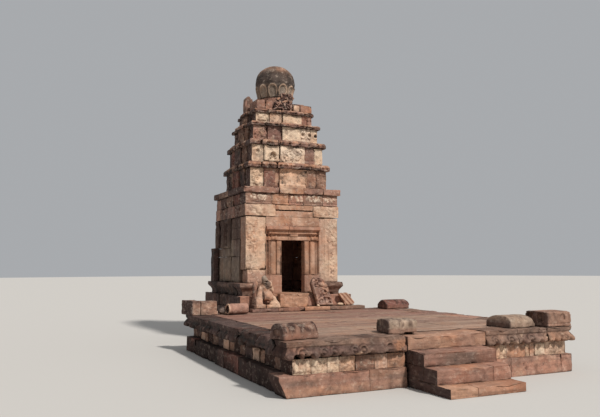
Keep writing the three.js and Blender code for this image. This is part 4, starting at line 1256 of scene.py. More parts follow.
def build_walls():
    fine = dict(step=(0.0135, 0.03, 0.0135), rough=0.004, chip=0.014, edge=0.008, gap=0.0006)
    front, deep, top = Face(0, TOWER_Y - WALL_Y), (0, WALL_DEEP), 2.972
    piece = Piece("front_wall_left_stones", "cream_sandstone", ["front_wall_left"], "wall")
    # Painted shade: the left side of these stones, on the tower's side away from the light, is clay.
    for z0, z1, x0 in ((MOULD_TOP, 1.72, -1.165), (1.72, top, -WALL_X)):
        stone(piece, front, (x0, -FRAME_HALF), deep, (z0, z1), "cream", front=front_left_face,
              left=plain_wall, tint=left_front_tones(), ends=("clay", None), plain=(*BEDDED, "right"), **fine)
    piece = Piece("front_wall_right_stones", "tan_sandstone", ["front_wall_right"], "wall")
    stone(piece, front, (FRAME_HALF, WALL_X), deep, (MOULD_TOP, top), "cream", front=front_right_face,
          right=plain_wall, tint=right_front_tones(), plain=(*BEDDED, "left"), **fine)

    piece = Piece("left_wall_stones", "weathered_dark_stone", ["left_wall"], "dressed")
    streaks = streaked("grey_tan", "dark", 421)
    shaded = tinted((0.65, along(2, 2.2, 2.6), "soot"), (0.6, near(0, 0.79, 0.03), "soot"),
                    (0.5, along(2, 2.05, 1.85), "grey_tan"))
    # Painted shade: the left wall, away from the light, is darker than the right one, with soot high up and
    # at the front corner; the stone standing out below is dark with more grime and shade.
    side_wall(piece, Face(-WALL_X, TOWER_Y, -90), 1, ["stain"],
              lambda p, colour: shaded(p, streaks(p, colour)), 0.02)
    stone(piece, Face(-1.36, TOWER_Y, -90), (-WALL_Y, -0.9), (0, 0.14), (MOULD_TOP, 2.26), "dark",
          step=0.03, rough=0.01, chip=0.03, grime=0.3, front=fluted_wall)
    piece = Piece("right_wall_stones", "brown_sandstone", ["right_wall"], "dressed")
    side_wall(piece, Face(WALL_X, TOWER_Y, 90), -1, ["tan", "pinkish"], streaked("buff", "mauve", 431))

    # The joints of the back wall overlap, so that no light falls through them into the room.
    piece = Piece("back_wall_stones", "brown_sandstone", ["back_wall"], "dressed")
    back, inner = Face(0, TOWER_Y + WALL_Y, 180), 0.85
    options = dict(step=(0.03, 0.07, 0.03), rough=0.004, chip=0.012, edge=0.012, gap=-0.009, grime=0.08,
                   tint=streaked("pinkish", "brown", 441))
    for zr, cuts in (((MOULD_TOP, BAND_FOOT), (-0.3, 0.3)), ((BAND_FOOT, BAND_TOP), (-0.4, 0.2))):
        course(piece, back, [-inner, *cuts, inner], deep, zr, ["mauve", "pinkish"], front=plain_wall,
               plain=BEDDED, **options)
    for a, b, out, carving in ((-inner, -0.3, 0, fluted_wall), (0.3, inner, 0, fluted_wall),
                               (-0.3, 0.3, 0.05, niche_wall(0))):
        stone(piece, back, (a, b), (-out, WALL_DEEP), (BAND_TOP, WALL_TOP), "mauve", front=carving,
              plain=SUNK, **options)


def jamb_face(x, z):
    """Upright bands of the door frame, cut by deep grooves that stop above the foot."""
    t = np.abs(x)
    out = -0.018 * (t < 0.41) - 0.01 * ((t > 0.57) & (t < 0.605))
    out += 0.012 * ridge(t - 0.51, 0.045)
    groove = np.maximum(ridge(t - 0.437, 0.014), 1.3 * ridge(t - 0.655, 0.026))
    groove = np.maximum(groove, 0.6 * ridge(t - 0.6, 0.01))
    upper = ease(z, 1.585, 1.6)
    carved = scrolls(x, z, (0.47, 0.57, 1.65, 2.4), 18, 0.02, 93, 0.006, 0.007)
    return (out - 0.045 * groove + carved) * upper + worn(x, z, 94, 0.004, 8.0)


def lintel_in(z):
    at = (LINTEL_FOOT, 2.495, 2.502, 2.56, 2.566, 2.645, 2.653, 2.662, 2.68, LINTEL_TOP)
    back = (0.075, 0.075, 0.12, 0.12, 0.06, 0.06, 0.05, 0.0, 0.0, 0.025)
    return np.interp(z, at, back)


def lintel_face(x, z):
    out = 0.045 * ease(0.11 - np.abs(x - 0.025), 0, 0.01) * ease(z, 2.5, 2.505) * ease(2.566 - z, 0, 0.004)
    for cx in (-0.492, 0.546):
        block = ease(0.08 - np.abs(x - cx), 0, 0.01) * ease(2.6 - z, 0, 0.012)
        out = np.maximum(out, 0.05 * block)
    for x0, x1, seed in ((-0.57, -0.415, 95), (0.46, 0.63, 96)):
        out += scrolls(x, z, (x0, x1, 2.43, 2.6), 6, 0.025, seed, 0.015, 0.009)
    out -= 0.05 * ridge(np.abs(x) - 0.655, 0.026) * ease(2.64 - z, 0, 0.01)
    return out + worn(x, z, 97, 0.004, 8.0)


def over_door_face(x, z):
    return worn(x, z, 98, 0.008, 4.0) + 0.004 * fbm(plane(x * 1.2, z * 16), 1.0, 2, 99)


def build_door():
    fine = dict(step=(0.01, 0.03, 0.012), rough=0.003, chip=0.012, edge=0.006, gap=0.0006)
    for side, sign, slot in (("left", -1, "cream_sandstone"), ("right", 1, "tan_sandstone")):
        piece = Piece(f"door_jamb_{side}_stones", slot, [f"door_jamb_{side}"], "frame")
        tint = tinted((0.7, near(0, sign * 0.437, 0.05), "orange"),
                      (0.6, near(0, sign * 0.62, 0.05), "base_low"),
                      (0.5, cloud(3.0, 0.05, 0.4, 451, (1, 1, 0.5)), "buff"),
                      (0.6, along(2, 1.62, 1.57), "pinkish"))
        for zr in ((SILL, 1.59), (1.59, LINTEL_FOOT)):
            stone(piece, Face(0, 5.86), sorted((sign * DOOR_HALF, sign * FRAME_HALF)), (0, 0.2), zr, "tan",
                  front=jamb_face, tint=tint, plain=BEDDED, **WORN_ENDS, **fine)
    piece = Piece("door_lintel_stones", "tan_sandstone", ["door_lintel"], "frame")
    streak = tinted((0.5, cloud(1.0, 0.0, 0.4, 452, (3, 1, 14)), "orange"),
                    (0.6, cloud(1.0, 0.1, 0.45, 453, (6, 1, 6)), "buff"),
                    (0.75, both(along(2, 2.655, 2.67), cloud(5.0, -0.5, 0.0, 459)), "base"))
    ends = (-FRAME_HALF, -0.12, FRAME_HALF)
    for a, b in zip(ends, ends[1:]):
        stone(piece, Face(0, 5.79), (a, b), (0, 0.27), (LINTEL_FOOT, LINTEL_TOP), "tan", front=lintel_face,
              shape=drawn_in(lintel_in, 0.25), plain=("back", *hidden_ends(a, b, ends)), tint=streak,
              **{**fine, "chip": 0.008})
    piece = Piece("stones_over_door", "brown_sandstone", ["wall_over_door"], "wall")
    streak = tinted((0.55, cloud(1.0, 0.0, 0.4, 454, (1.5, 1, 12)), "base_low"),
                    (0.5, cloud(1.0, 0.1, 0.45, 455, (2, 1, 14)), "pinkish"),
                    (0.6, cloud(2.5, 0.2, 0.5, 456), "buff"))
    for xr, zr in (((-FRAME_HALF, FRAME_HALF), (LINTEL_TOP, 2.984)), ((-0.46, 0.53), (2.984, 3.124))):
        stone(piece, Face(0, 5.868), xr, (0, 0.37), zr, "tan", front=over_door_face, tint=streak, plain=SUNK,
              step=(0.016, 0.05, 0.014), rough=0.004, chip=0.01, edge=0.005, gap=0.0002)
    piece = Piece("door_step_stone", "tan_sandstone", ["door_step_block"], "base")
    xr = (-0.525, 0.215)
    stone(piece, Face(0, 5.42), xr, (0, 0.18), (0.8503, 1.168), "tan", front=tread_face, top=slab_top,
          plain=(), shape=worn_tread(*xr, 0, 0.02), **WORN_ENDS,
          step=(0.016, 0.02, 0.016), rough=0.008, chip=0.03, edge=0.014,
          tint=tinted((0.6, cloud(3.0, 0.0, 0.4, 457), "orange"), (0.4, cloud(4.0, 0.1, 0.4, 458), "tan")))


def beam_face(x, z):
    out = squiggles(x, z, (-1.2, -0.74, 3.0, 3.25), 10.0, 101, 0.018)
    out += scrolls(x, z, (0.56, 0.8, 3.02, 3.24), 14, 0.03, 102, 0.016, 0.009)
    out += squiggles(x, z, (0.84, 1.2, 3.0, 3.25), 9.0, 105, 0.014)
    out -= 0.01 * ridge(x - 0.86, 0.007)
    return out + worn(x, z, 103, 0.008, 7.0)


def side_carving(seed, grain=0.05):
    """Worn curling relief whose curls are about grain wide."""

    def heights(x, z):
        curls = np.abs(fbm(plane(x, z, seed * 0.7), 1 / grain * 0.45, 2, seed))
        return 0.02 * (ease(curls, 0.05, 0.3) - 0.5) + worn(x, z, seed, 0.01, 6.0)

    return heights


def entablature_face(x, z):
    out = np.zeros(len(x))
    for x0, x1, seed in ((-1.2, -0.56, 104), (-0.1, 0.28, 106), (0.3, 0.79, 107), (0.82, 1.2, 108)):
        out += scrolls(x, z, (x0, x1, 3.34, 3.53), int((x1 - x0) / 0.022), 0.028, seed, 0.02, 0.01)
    out += 0.01 * ease(3.318 - z, 0, 0.006)
    out -= 0.018 * ridge(z - 3.326, 0.008)
    return out + worn(x, z, 109, 0.01, 7.0)


# Raised carving is painted pale, as rubbed wear and as a painted highlight where light catches it, and the
# plain parts are streaked.
BRIGHT_RELIEF = tinted(
    (0.5, cloud(4.0, 0.0, 0.4, 461), "tan"), (0.5, cloud(5.0, 0.1, 0.4, 462), "mauve"),
    (0.95, both(lambda p: np.clip(-p[:, 1] * 70 - 0.05, 0, 1),
                lambda p: ease(np.abs(p[:, 0] + 0.33), 0.2, 0.26), along(2, 3.325, 3.34)), "chalk"))
SCRATCHED = tinted(
    (0.6, both(cloud(12.0, 0.02, 0.28, 463, (1, 1, 0.8)),
               lambda p: ease(np.abs(p[:, 0] - 0.035) - 0.44, 0, 0.05)), "tan"),
    (0.5, cloud(2.4, 0.1, 0.4, 464), "pinkish"), (0.4, cloud(3.2, 0.1, 0.4, 465), "white"))


def front_row(piece, face, stones, end, carving, seed, tint, dark, options):
    """The front stones of a course, (start, end, foot, top, tone) each. The outer two turn the corners, and
    dark is the painted shade tone of the first one's left side.
    """
    for a, b, z0, z1, tone in stones:
        first, last = a == -end, b == end
        stone(piece, face, (a, b), (0, ROW_DEEP), (z0, z1), tone, front=carving, tint=tint,
              left=side_carving(seed) if first else None, right=side_carving(seed + 1) if last else None,
              ends=(dark if first else None, None), plain=(*BEDDED, *hidden_ends(a, b, (-end, end))),
              **options)


def side_rows(piece, half_x, half_y, zr, about, seed, carving_seed, left, others, options):
    """The right, back and left side of a course. left and others are the tones and the value of grime and
    painted shade there; the left side, away from the light, is given darker ones.
    """
    for name, (face, half) in ring_faces(half_x, half_y).items():
        if name != "front":
            a, b = (-half, half) if name == "back" else (-half + ROW_DEEP, half - ROW_DEEP)
            tones, grime = left if name == "left" else others
            course(piece, face, joints(a, b, about, seed + len(name)), (0, ROW_DEEP), zr, tones,
                   tint=ROW_TINTS[name], grime=grime, front=side_carving(carving_seed + len(name)),
                   plain=BEDDED, **options)


BEAM_TOP, ENTABLATURE_TOP, SLAB_TOP = 3.27, 3.545, 3.692
ROW_DEEP = 0.4
ROW_TINTS = {"left": streaked("mauve", "dark", 471), "right": streaked("tan", "mauve", 472),
             "back": streaked("mauve", "brown", 473)}


def build_upper_courses():
    fine = dict(step=(0.0145, 0.05, 0.0145), rough=0.004, chip=0.016, edge=0.008, gap=0.0006)
    coarse = dict(step=(0.028, 0.08, 0.025), rough=0.008, chip=0.03, edge=0.01, gap=0.002)
    piece = Piece("beam_stones", "tan_sandstone", ["beam_course"], "wall")
    half_x, half_y, foot = 1.235, 1.175, 2.992
    front_row(piece, Face(0, TOWER_Y - half_y),
              ((-half_x, -0.46, foot, BEAM_TOP, "cream"), (-0.46, 0.53, 3.15, BEAM_TOP, "tan"),
               (0.53, half_x, foot, BEAM_TOP, "cream")),
              half_x, beam_face, 111, SCRATCHED, "brown", fine)
    # Painted shade: darker tones and more grime and shade on the left side.
    side_rows(piece, half_x, half_y, (WALL_TOP, BEAM_TOP), 0.7, 30, 113, (["brown", "mauve"], 0.1),
              (["mauve", "pinkish"], 0.06), coarse)
    filler(piece, TOWER_Y - 0.78, 0.84, 1.56, (WALL_TOP, 3.26), "dark")

    piece = Piece("entablature_stones", "tan_sandstone", ["entablature"], "frieze")
    half_x, half_y, zr = 1.215, 1.155, (BEAM_TOP, ENTABLATURE_TOP)
    front_row(piece, Face(0, TOWER_Y - half_y),
              ((-half_x, -0.547, *zr, "clay"), (-0.547, -0.103, *zr, "tan"), (-0.103, 0.284, *zr, "pinkish"),
               (0.284, 0.8, *zr, "clay"), (0.8, half_x, *zr, "pinkish")),
              half_x, entablature_face, 121, BRIGHT_RELIEF, "dark", {**fine, "chip": 0.025})
    # Painted shade: darker tones and more grime and shade on the left side.
    side_rows(piece, half_x, half_y, zr, 0.5, 50, 123, (["dark", "brown", "maroon"], 0.15),
              (["rose", "mauve", "tan"], 0.06), coarse)

    piece = Piece("main_cornice_stones", "pink_sandstone", ["main_cornice_slab"], "frieze")
    # Painted shade: the left side, away from the light, has darker stones and more grime and shade.
    tones = {"front": ["base", "tan", "base", "pinkish", "base"], "left": ["brown", "dark"],
             "right": ["pinkish", "mauve"], "back": ["mauve", "brown"]}
    pale = tinted((0.8, lambda p: ease(0.2 - np.abs(p[:, 0] + 0.18), 0, 0.08), "cream"),
                  (0.5, cloud(4.0, 0.1, 0.4, 474), "tan"), (0.5, cloud(5.0, 0.15, 0.4, 475), "mauve"))
    half_x = 1.28
    ring_course(piece, half_x, 1.21, ENTABLATURE_TOP, SLAB_TOP, 0.45, 0.62,
                {**coarse, "front": plain_wall, "step": (0.018, 0.06, 0.0125), "gap": 0.001}, tones,
                {"front": 0.03, "left": 0.2, "right": 0.1, "back": 0.12}, tints={"front": pale},
                places={"front": [-half_x, -0.36, 0.27, 0.813, half_x]})
    filler(piece, TOWER_Y - 0.8, 0.86, 1.6, (3.5, 3.69), "brown", plain=OPEN_TOP)


# Roof tiers

TIERS = [
    dict(half=(1.02, 0.925), z=(SLAB_TOP, 4.18, 4.335), lip=0.075, cuts=(-0.673, -0.28, 0.457, 0.72)),
    dict(half=(0.955, 0.855), z=(4.335, 4.76, 4.905), lip=0.07, cuts=(-0.645, -0.23, 0.43, 0.72)),
    dict(half=(0.875, 0.72), z=(4.905, 5.27, 5.375), lip=0.065, cuts=(-0.5, -0.12, 0.38, 0.66)),
    dict(half=(0.77, 0.625), z=(5.375, 5.62, 5.72), lip=0.05, cuts=(-0.41, -0.06, 0.45, 0.62)),
]
TIER_LOOKS = [
    [("white", "curls"), ("wine", "plain"), ("cream", "ledge"), ("clay", "rough"), ("clay", "rough")],
    [("white", "spot"), ("white", "niche"), ("chalk", "busy"), ("dusky", "rough"), ("white", "plain")],
    [("pinkish", "curls"), ("wine", "rough"), ("white", "plain"), ("chalk", "roundels"),
     ("white", "roundels")],
    [("white", "busy"), ("cream", "plain"), ("white", "plain"), ("pink", "rough"), ("pinkish", "rough")],
]
# Painted shade: the left side, away from the light, has the darkest tones.
SIDE_TONES = {
    "left": ["brown", "dark", "maroon", "dark", "brown"],
    "right": ["pinkish", "mauve", "tan", "base", "buff"],
    "back": ["mauve", "brown", "tan", "brown", "mauve"],
}
OUTS = (0.0, 0.035, 0.07, 0.035, 0.0)
FLECKS = tinted((0.5, cloud(7.0, 0.16, 0.38, 491), "brown"), (0.5, cloud(6.0, 0.15, 0.4, 492), "cream"),
                (0.35, cloud(9.0, 0.25, 0.5, 493), "dark"))


def tier_face(kind, a, b, z0, z1, seed):
    """Carving of one bay of a tier."""
    mid, h = (a + b) / 2, z1 - z0

    def heights(x, z):
        out = worn(x, z, seed, 0.014, 8.0)
        v = (z - z0) / h
        if kind == "curls":
            out += scrolls(x, z, (a + 0.03, b - 0.03, z0 + 0.05, z1 - 0.03), 12, 0.05, seed, 0.032, 0.013)
        elif kind == "busy":
            out += scrolls(x, z, (a + 0.02, b - 0.02, z0 + 0.04, z1 - 0.03), 30, 0.045, seed, 0.034, 0.012)
        elif kind == "rough":
            out += 0.026 * fbm(plane(x, z, seed), 9.0, 3, seed)
        elif kind == "ledge":
            out -= 0.024 * ease(v, 0.2, 0.24) * ease(0.97 - v, 0, 0.03)
            out += 0.018 * ridge(x - mid - 0.1, 0.1) * ridge(z - z0 - 0.1, 0.05)
        elif kind == "spot":
            out -= 0.035 * ridge(np.hypot(x - mid, z - z0 - 0.62 * h), 0.04)
            out += 0.02 * ridge(np.hypot(x - mid, z - z0 - 0.62 * h) - 0.07, 0.016)
        elif kind == "niche":
            out += arch(x, z, mid + 0.02, z0 + 0.42 * h, 0.095, 0.02, 0.045, 0.06)
            out += 0.02 * ridge(np.abs(x - mid) - 0.17, 0.02) + 0.02 * ridge(z - z0 - 0.05, 0.02)
            out += 0.035 * ridge(np.hypot(x - mid - 0.02, z - z0 - 0.36 * h), 0.03)
        elif kind == "roundels":
            for cx in (0.45, 0.64, 0.83):
                d = np.hypot(x - cx, z - z0 - 0.56 * h)
                out += 0.024 * ridge(d - 0.07, 0.02) - 0.04 * ridge(d, 0.035)
        elif kind == "ribs":
            out += flutes(x - a, 0.07, 0.024) + bands(z, (z0 + 0.07, z1 - 0.06), 0.014, 0.014)
        return out

    return heights


def roll_in(z, z0, z1, lip):
    """How far a rolled tier cornice lies behind its lip."""
    t = np.clip((z - z0) / (z1 - z0), 0, 1)
    upper = np.clip((t - 0.38) / 0.62, 0, 1)
    curve = 1 - np.sqrt(np.clip(1 - upper**2, 0, 1))
    under = np.clip(0.16 - t, 0, 1) * 0.5
    return lip * (0.92 * curve + under)


def cornice_face(z0, z1, seed):
    def heights(x, z):
        h = (z - z0) / (z1 - z0)
        notch = ease(fbm(plane(x, 0 * x, seed), 11.0, 2, seed), 0.0, 0.3) * ease(0.6 - h, 0, 0.2)
        cell = np.round(x / 0.27)
        out = worn(x, z, seed, 0.011, 6.0) - 0.024 * notch
        out += 0.6 * arch(x - cell * 0.27, z, 0, z0 + 0.42 * (z1 - z0), 0.035, 0.014, 0.026, 0.02)
        return out - 0.012 * ridge(h - 0.36, 0.07)

    return heights


def cornice_light_and_shade(z0, z1):
    """Painted light and shade: a paler top where the light falls, and painted shadow, near black, in the
    notches of the underside.
    """
    mid = z0 + 0.32 * (z1 - z0)
    return tinted((0.85, both(along(2, mid + 0.02, mid - 0.03), cloud(9.0, -0.25, 0.2, 494)), "black"),
                  (0.75, both(along(2, mid, mid + 0.03), cloud(6.0, -0.4, 0.1, 495)), "tan"),
                  (0.4, cloud(7.0, 0.1, 0.4, 496), "dark"))


TIER_KINDS = ("curls", "ribs", "niche", "rough", "curls")
TIER_DEEP = 0.3


def build_tier_side(walls, rolls, t, name, face, half):
    """Five bays of the wall of tier t and the cornice over them, on the side called name."""
    tier = TIERS[t]
    (z0, zw, z1), lip = tier["z"], tier["lip"]
    turns = name in ("front", "back")
    cuts = tier["cuts"] if name == "front" else [share * half for share in (-0.66, -0.27, 0.27, 0.66)]
    ends = (-half, *cuts, half)
    step = {"front": 0.0135, "left": 0.018}.get(name, 0.026)
    # The left side, away from the light, gets the most grime and painted shade.
    wall_grime = {"front": 0.05, "left": 0.2, "right": 0.08, "back": 0.14}[name]
    roll_grime = {"front": 0.04, "left": 0.26, "right": 0.12, "back": 0.16}[name]
    for n, out in enumerate(OUTS):
        a, b = ends[n], ends[n + 1]
        if not turns:
            a, b = max(a, -half + TIER_DEEP), min(b, half - TIER_DEEP)
        if name == "front":
            tone, kind = TIER_LOOKS[t][n]
        else:
            tone, kind = SIDE_TONES[name][(n + t) % 5], TIER_KINDS[(n + t) % 5]
        shade = ("dark" if name == "front" and n < 3 else None, "dark" if name == "back" and n > 1 else None)
        shared = dict(ends=shade, rough=0.006,
                      plain=(*BEDDED, *(hidden_ends(a, b, ends) if turns else ("left", "right"))))
        stone(walls, face, (a, b), (-out, TIER_DEEP), (z0, zw + 0.004), tone, grime=wall_grime, tint=FLECKS,
              step=(step, 0.05, step), chip=0.025, edge=0.006, gap=0.0014,
              front=tier_face(kind, a, b, z0, zw, 130 + t * 20 + n),
              left=tier_face("rough", a, b, z0, zw, 131 + t) if a == -half else None,
              right=tier_face("rough", a, b, z0, zw, 132 + t) if b == half else None, **shared)
        # The joints of the cornice lie further out than those of the wall, by the lip.
        first, last = n == 0 and turns, n == 4 and turns
        open_a, open_b = turns or a > -half + TIER_DEEP, turns or b < half - TIER_DEEP
        a2 = a + lip if n > 2 else a - lip if n == 2 or open_a else a
        b2 = b - lip if n < 2 else b + lip if n == 2 or open_b else b
        shape = drawn_in(lambda z: roll_in(z, zw, z1, lip), 0.2, a2 if first or n in (1, 2) else None,
                         b2 if last or n in (2, 3) else None, 0.13)
        stone(rolls, face, (a2, b2), (-out - lip, TIER_DEEP), (zw, z1), "brown" if n % 2 else "mauve",
              step=(0.0145 if name in ("front", "left") else 0.02, 0.035, 0.011), chip=0.032, edge=0.01,
              gap=0.0006, grime=roll_grime, front=cornice_face(zw, z1, 150 + n + t),
              tint=cornice_light_and_shade(zw, z1), shape=shape, **shared)


def build_tiers():
    for t, tier in enumerate(TIERS):
        (hx, hy), (_, zw, z1) = tier["half"], tier["z"]
        walls = Piece(f"tier_{t + 1}_wall_stones", "tan_sandstone" if t % 2 else "pink_sandstone",
                      [f"tier_{t + 1}_wall"], "tier")
        rolls = Piece(f"tier_{t + 1}_cornice_stones", "brown_sandstone", [f"tier_{t + 1}_cornice"], "roof")
        for name, (face, half) in ring_faces(hx, hy).items():
            build_tier_side(walls, rolls, t, name, face, half)
        filler(rolls, TOWER_Y - hy + 0.28, hx - 0.28, 2 * hy - 0.56, (zw, z1 - 0.006), "brown", 0.12,
               OPEN_TOP)


# Dome

DOME_OUTLINE = ((0.432, 0), (0.446, 0.05), (0.466, 0.12), (0.489, 0.22), (0.507, 0.32), (0.513, 0.4),
                (0.506, 0.48), (0.492, 0.56), (0.468, 0.64), (0.426, 0.71), (0.37, 0.77), (0.29, 0.828),
                (0.2, 0.87), (0.1, 0.893), (0.02, 0.9))


def smooth_outline(points, count, z0):
    pts = np.asarray(points)
    s = np.concatenate(([0], np.cumsum(np.hypot(*np.diff(pts, axis=0).T))))
    t = np.linspace(0, s[-1], count)
    return np.stack((np.interp(t, s, pts[:, 0]), np.interp(t, s, pts[:, 1]) + z0), 1)


# Eleven leaf-shaped arches run round the foot of the dome.
ARCH_COUNT = 11
ARCH_CELL = 2 * math.pi / ARCH_COUNT
ARCH_START = math.radians(-119.9)
NECK_FOOT, DOME_FOOT, DOME_SEAT = 5.9705, 6.13, 6.1305
# The direction of the dome's left side, where the rim of an arch is palest.
LEFT_EDGE = math.radians(207)


def dome_arches(t, z):
    """Rim and inner leaf of the arches."""
    x = ((t - ARCH_START + ARCH_CELL / 2) % ARCH_CELL - ARCH_CELL / 2) * 0.49
    h = z - DOME_FOOT
    d = np.where(h > 0.16, np.hypot(x, (h - 0.16) * 0.75), np.abs(x) * (1 + 0.3 * ease(0.16 - h, 0, 0.16)))
    foot = ease(h, 0.0, 0.02)
    return ridge(d - 0.112, 0.015) * foot, ease(0.1 - d, -0.006, 0.008) * foot


def build_dome():
    neck = Piece("dome_neck_stones", "pink_sandstone", ["dome_neck"], "tier")
    outline = [(0.03, NECK_FOOT), (0.2, NECK_FOOT), (0.4, NECK_FOOT)]
    outline += [(0.417, z) for z in np.linspace(5.98, 6.115, 12)]
    outline += [(0.4, 6.128), (0.2, DOME_FOOT), (0.03, DOME_FOOT)]

    def neck_carving(t, z):
        cell = 2 * math.pi / 9
        out = -0.018 * ridge(np.abs(t % cell - cell / 2), 0.03)
        return out + 0.014 * fbm(np.stack((np.cos(t), np.sin(t), z * 2), 1), 5.0, 3, 7)

    lathe(neck, outline, 130, "base", neck_carving, lambda t, z: np.full(len(t), 0.05))

    dome = Piece("dome_stone", "weathered_dark_stone", ["dome"], "dome")
    outline = smooth_outline(DOME_OUTLINE, 70, DOME_SEAT)
    outline = np.concatenate(([(0.03, DOME_SEAT), (0.25, DOME_SEAT)], outline))

    def around(t, z):
        return np.stack((np.cos(t) * 0.5, np.sin(t) * 0.5, z), 1)

    def carving(t, z):
        rim, inside = dome_arches(t, z)
        gore = np.cos((t - ARCH_START) * ARCH_COUNT)
        fade = ease(z, 6.2, 6.45) * ease(6.99 - z, 0, 0.15)
        return 0.018 * rim - 0.02 * inside + 0.008 * fbm(around(t, z), 7.0, 3, 8) + 0.005 * gore * fade

    def colour(t, z, base):
        """Dark stone, damp at the foot and worn pale on top, with light rims round the arches, painted
        brighter on the side towards the sun.
        """
        rim, inside = dome_arches(t, z)
        q = around(t, z)
        # Painted light: rims and arch fills are brighter on the side towards the sun; the rims are also pale
        # at the dome's left edge.
        painted_sun_and_pale_rim = np.maximum(ease(np.cos(t + math.radians(55)), 0.2, 0.95), ridge(t - LEFT_EDGE, 0.25))
        base = base * (0.44 + 0.26 * ease(fbm(q, 5.0, 3, 501), -0.2, 0.4))[:, None]
        foot = 0.6 * ease(6.5 - z, 0, 0.12) * ease(fbm(q, 6.0, 2, 506), -0.4, 0.2)
        top = ease(z + 0.06 * fbm(q, 5.0, 2, 502), 6.68, 6.95)
        top = 0.8 * top * (0.35 + 0.65 * ease(fbm(q, 4.0, 3, 503), -0.2, 0.25))
        base = mix(mix(base, TONES["grey_tan"], foot), TONES["tan"] * 0.9, top)
        fill = TONES["fill"] * (1.1 + 0.3 * painted_sun_and_pale_rim + 0.3 * fbm(q, 8.0, 2, 504))[:, None]
        first = ridge((t - LEFT_EDGE + math.pi) % (2 * math.pi) - math.pi, 0.25)
        edge = rim * (0.5 + 0.5 * painted_sun_and_pale_rim) * ease(fbm(q, 7.0, 2, 505) + first, -0.5, 0.0)
        return mix(mix(base, fill, 0.8 * inside), mix(TONES["cream"], TONES["chalk"], first), edge)

    def dirt(t, z):
        rim, inside = dome_arches(t, z)
        cleaner = 0.26 * np.maximum(inside, rim) + 0.16 * ease(z, 6.75, 6.95) + 0.1 * ease(6.45 - z, 0, 0.1)
        return 0.26 - cleaner

    lathe(dome, outline, 200, "grey", carving, dirt, tint=colour)


# Loose and carved stones


TOP_SEAT, KERB_SEAT, ROOF_SEAT = 0.7705, 0.8505, 5.7205


def sculpt(piece, lo, hi, cell, inside, tone, at, grime=0.0, tint=None, turn=0.0):
    """A closed body round the points where inside(p) is negative."""
    lo, hi = np.array(lo) - 2 * cell, np.array(hi) + 2 * cell
    n = np.ceil((hi - lo) / cell).astype(int) + 1
    axes = [lo[a] + cell * np.arange(n[a]) for a in range(3)]
    grid = np.stack(np.meshgrid(*axes, indexing="ij"), -1).reshape(-1, 3)
    d = inside(grid).reshape(n)
    cells = n - 1
    count = int(np.prod(cells))
    total, hits, quads = np.zeros((count, 3)), np.zeros(count), []
    for a in range(3):
        b, c = (a + 1) % 3, (a + 2) % 3
        d0 = np.take(d, range(n[a] - 1), axis=a)
        d1 = np.take(d, range(1, n[a]), axis=a)
        cross = (d0 < 0) != (d1 < 0)
        index = np.argwhere(cross)
        point = index.astype(float)
        point[:, a] += d0[cross] / (d0[cross] - d1[cross])
        ring = []
        for db, dc in ((0, 0), (-1, 0), (-1, -1), (0, -1)):
            where = index.copy()
            where[:, b] += db
            where[:, c] += dc
            flat = np.ravel_multi_index(tuple(where.T), tuple(cells))
            ring.append(flat)
            hits += np.bincount(flat, minlength=count)
            for k in range(3):
                total[:, k] += np.bincount(flat, weights=point[:, k], minlength=count)
        quad = np.stack(ring, 1)
        flip = d1[cross] < 0
        quad[flip] = quad[flip][:, ::-1]
        quads.append(quad)
    used, loops = np.unique(np.concatenate(quads), return_inverse=True)
    p = total[used] / hits[used][:, None] * cell + lo
    colour = TONES[tone]
    if tint is not None:
        colour = tint(p, np.broadcast_to(colour, (len(p), 3)))
    if callable(grime):
        grime = grime(p)
    c, s = math.cos(turn), math.sin(turn)
    p = p @ np.array(((c, s, 0), (-s, c, 0), (0, 0, 1))) + np.array(at)
    piece.add(p, loops.ravel(), np.full(len(loops.ravel()) // 4, 4), colour, grime)


def ball(p, centre, radii, lean=0.0):
    q = p - np.array(centre)
    if lean:
        c, s = math.cos(lean), math.sin(lean)
        q = q @ np.array(((c, 0, -s), (0, 1, 0), (s, 0, c))).T
    return (np.linalg.norm(q / np.array(radii), axis=1) - 1) * min(radii)


def rod(p, a, b, ra, rb):
    a, b = np.array(a, float), np.array(b, float)
    t = np.clip((p - a) @ (b - a) / ((b - a) @ (b - a)), 0, 1)
    return np.linalg.norm(p - a - t[:, None] * (b - a), axis=1) - (ra + (rb - ra) * t)


def block(p, lo, hi, soft=0.02):
    lo, hi = np.array(lo), np.array(hi)
    q = np.abs(p - (lo + hi) / 2) - (hi - lo) / 2 + soft
    return np.linalg.norm(np.maximum(q, 0), axis=1) + np.minimum(q.max(1), 0) - soft


def ring_bar(p, centre, radius, width):
    x, y, z = (p - np.array(centre)).T
    return np.hypot(np.hypot(x, z) - radius, y) - width


def melt(*shapes, k=0.03):
    out = shapes[0]
    for other in shapes[1:]:
        h = np.clip(0.5 + 0.5 * (other - out) / k, 0, 1)
        out = other * (1 - h) + out * h - k * h * (1 - h)
    return out


def flat_outline(x, z, outline):
    """Distance to a closed outline in the plane, negative inside."""
    pts = np.array(outline, float)
    best = np.full(len(x), np.inf)
    enclosed = np.zeros(len(x), bool)
    for (ax, az), (bx, bz) in zip(pts, np.roll(pts, -1, axis=0)):
        ex, ez = bx - ax, bz - az
        t = np.clip(((x - ax) * ex + (z - az) * ez) / (ex * ex + ez * ez), 0, 1)
        best = np.minimum(best, np.hypot(x - ax - t * ex, z - az - t * ez))
        if ez:
            over = (az > z) != (bz > z)
            enclosed ^= over & (x < ax + (z - az) * ex / ez)
    return np.where(enclosed, -best, best)


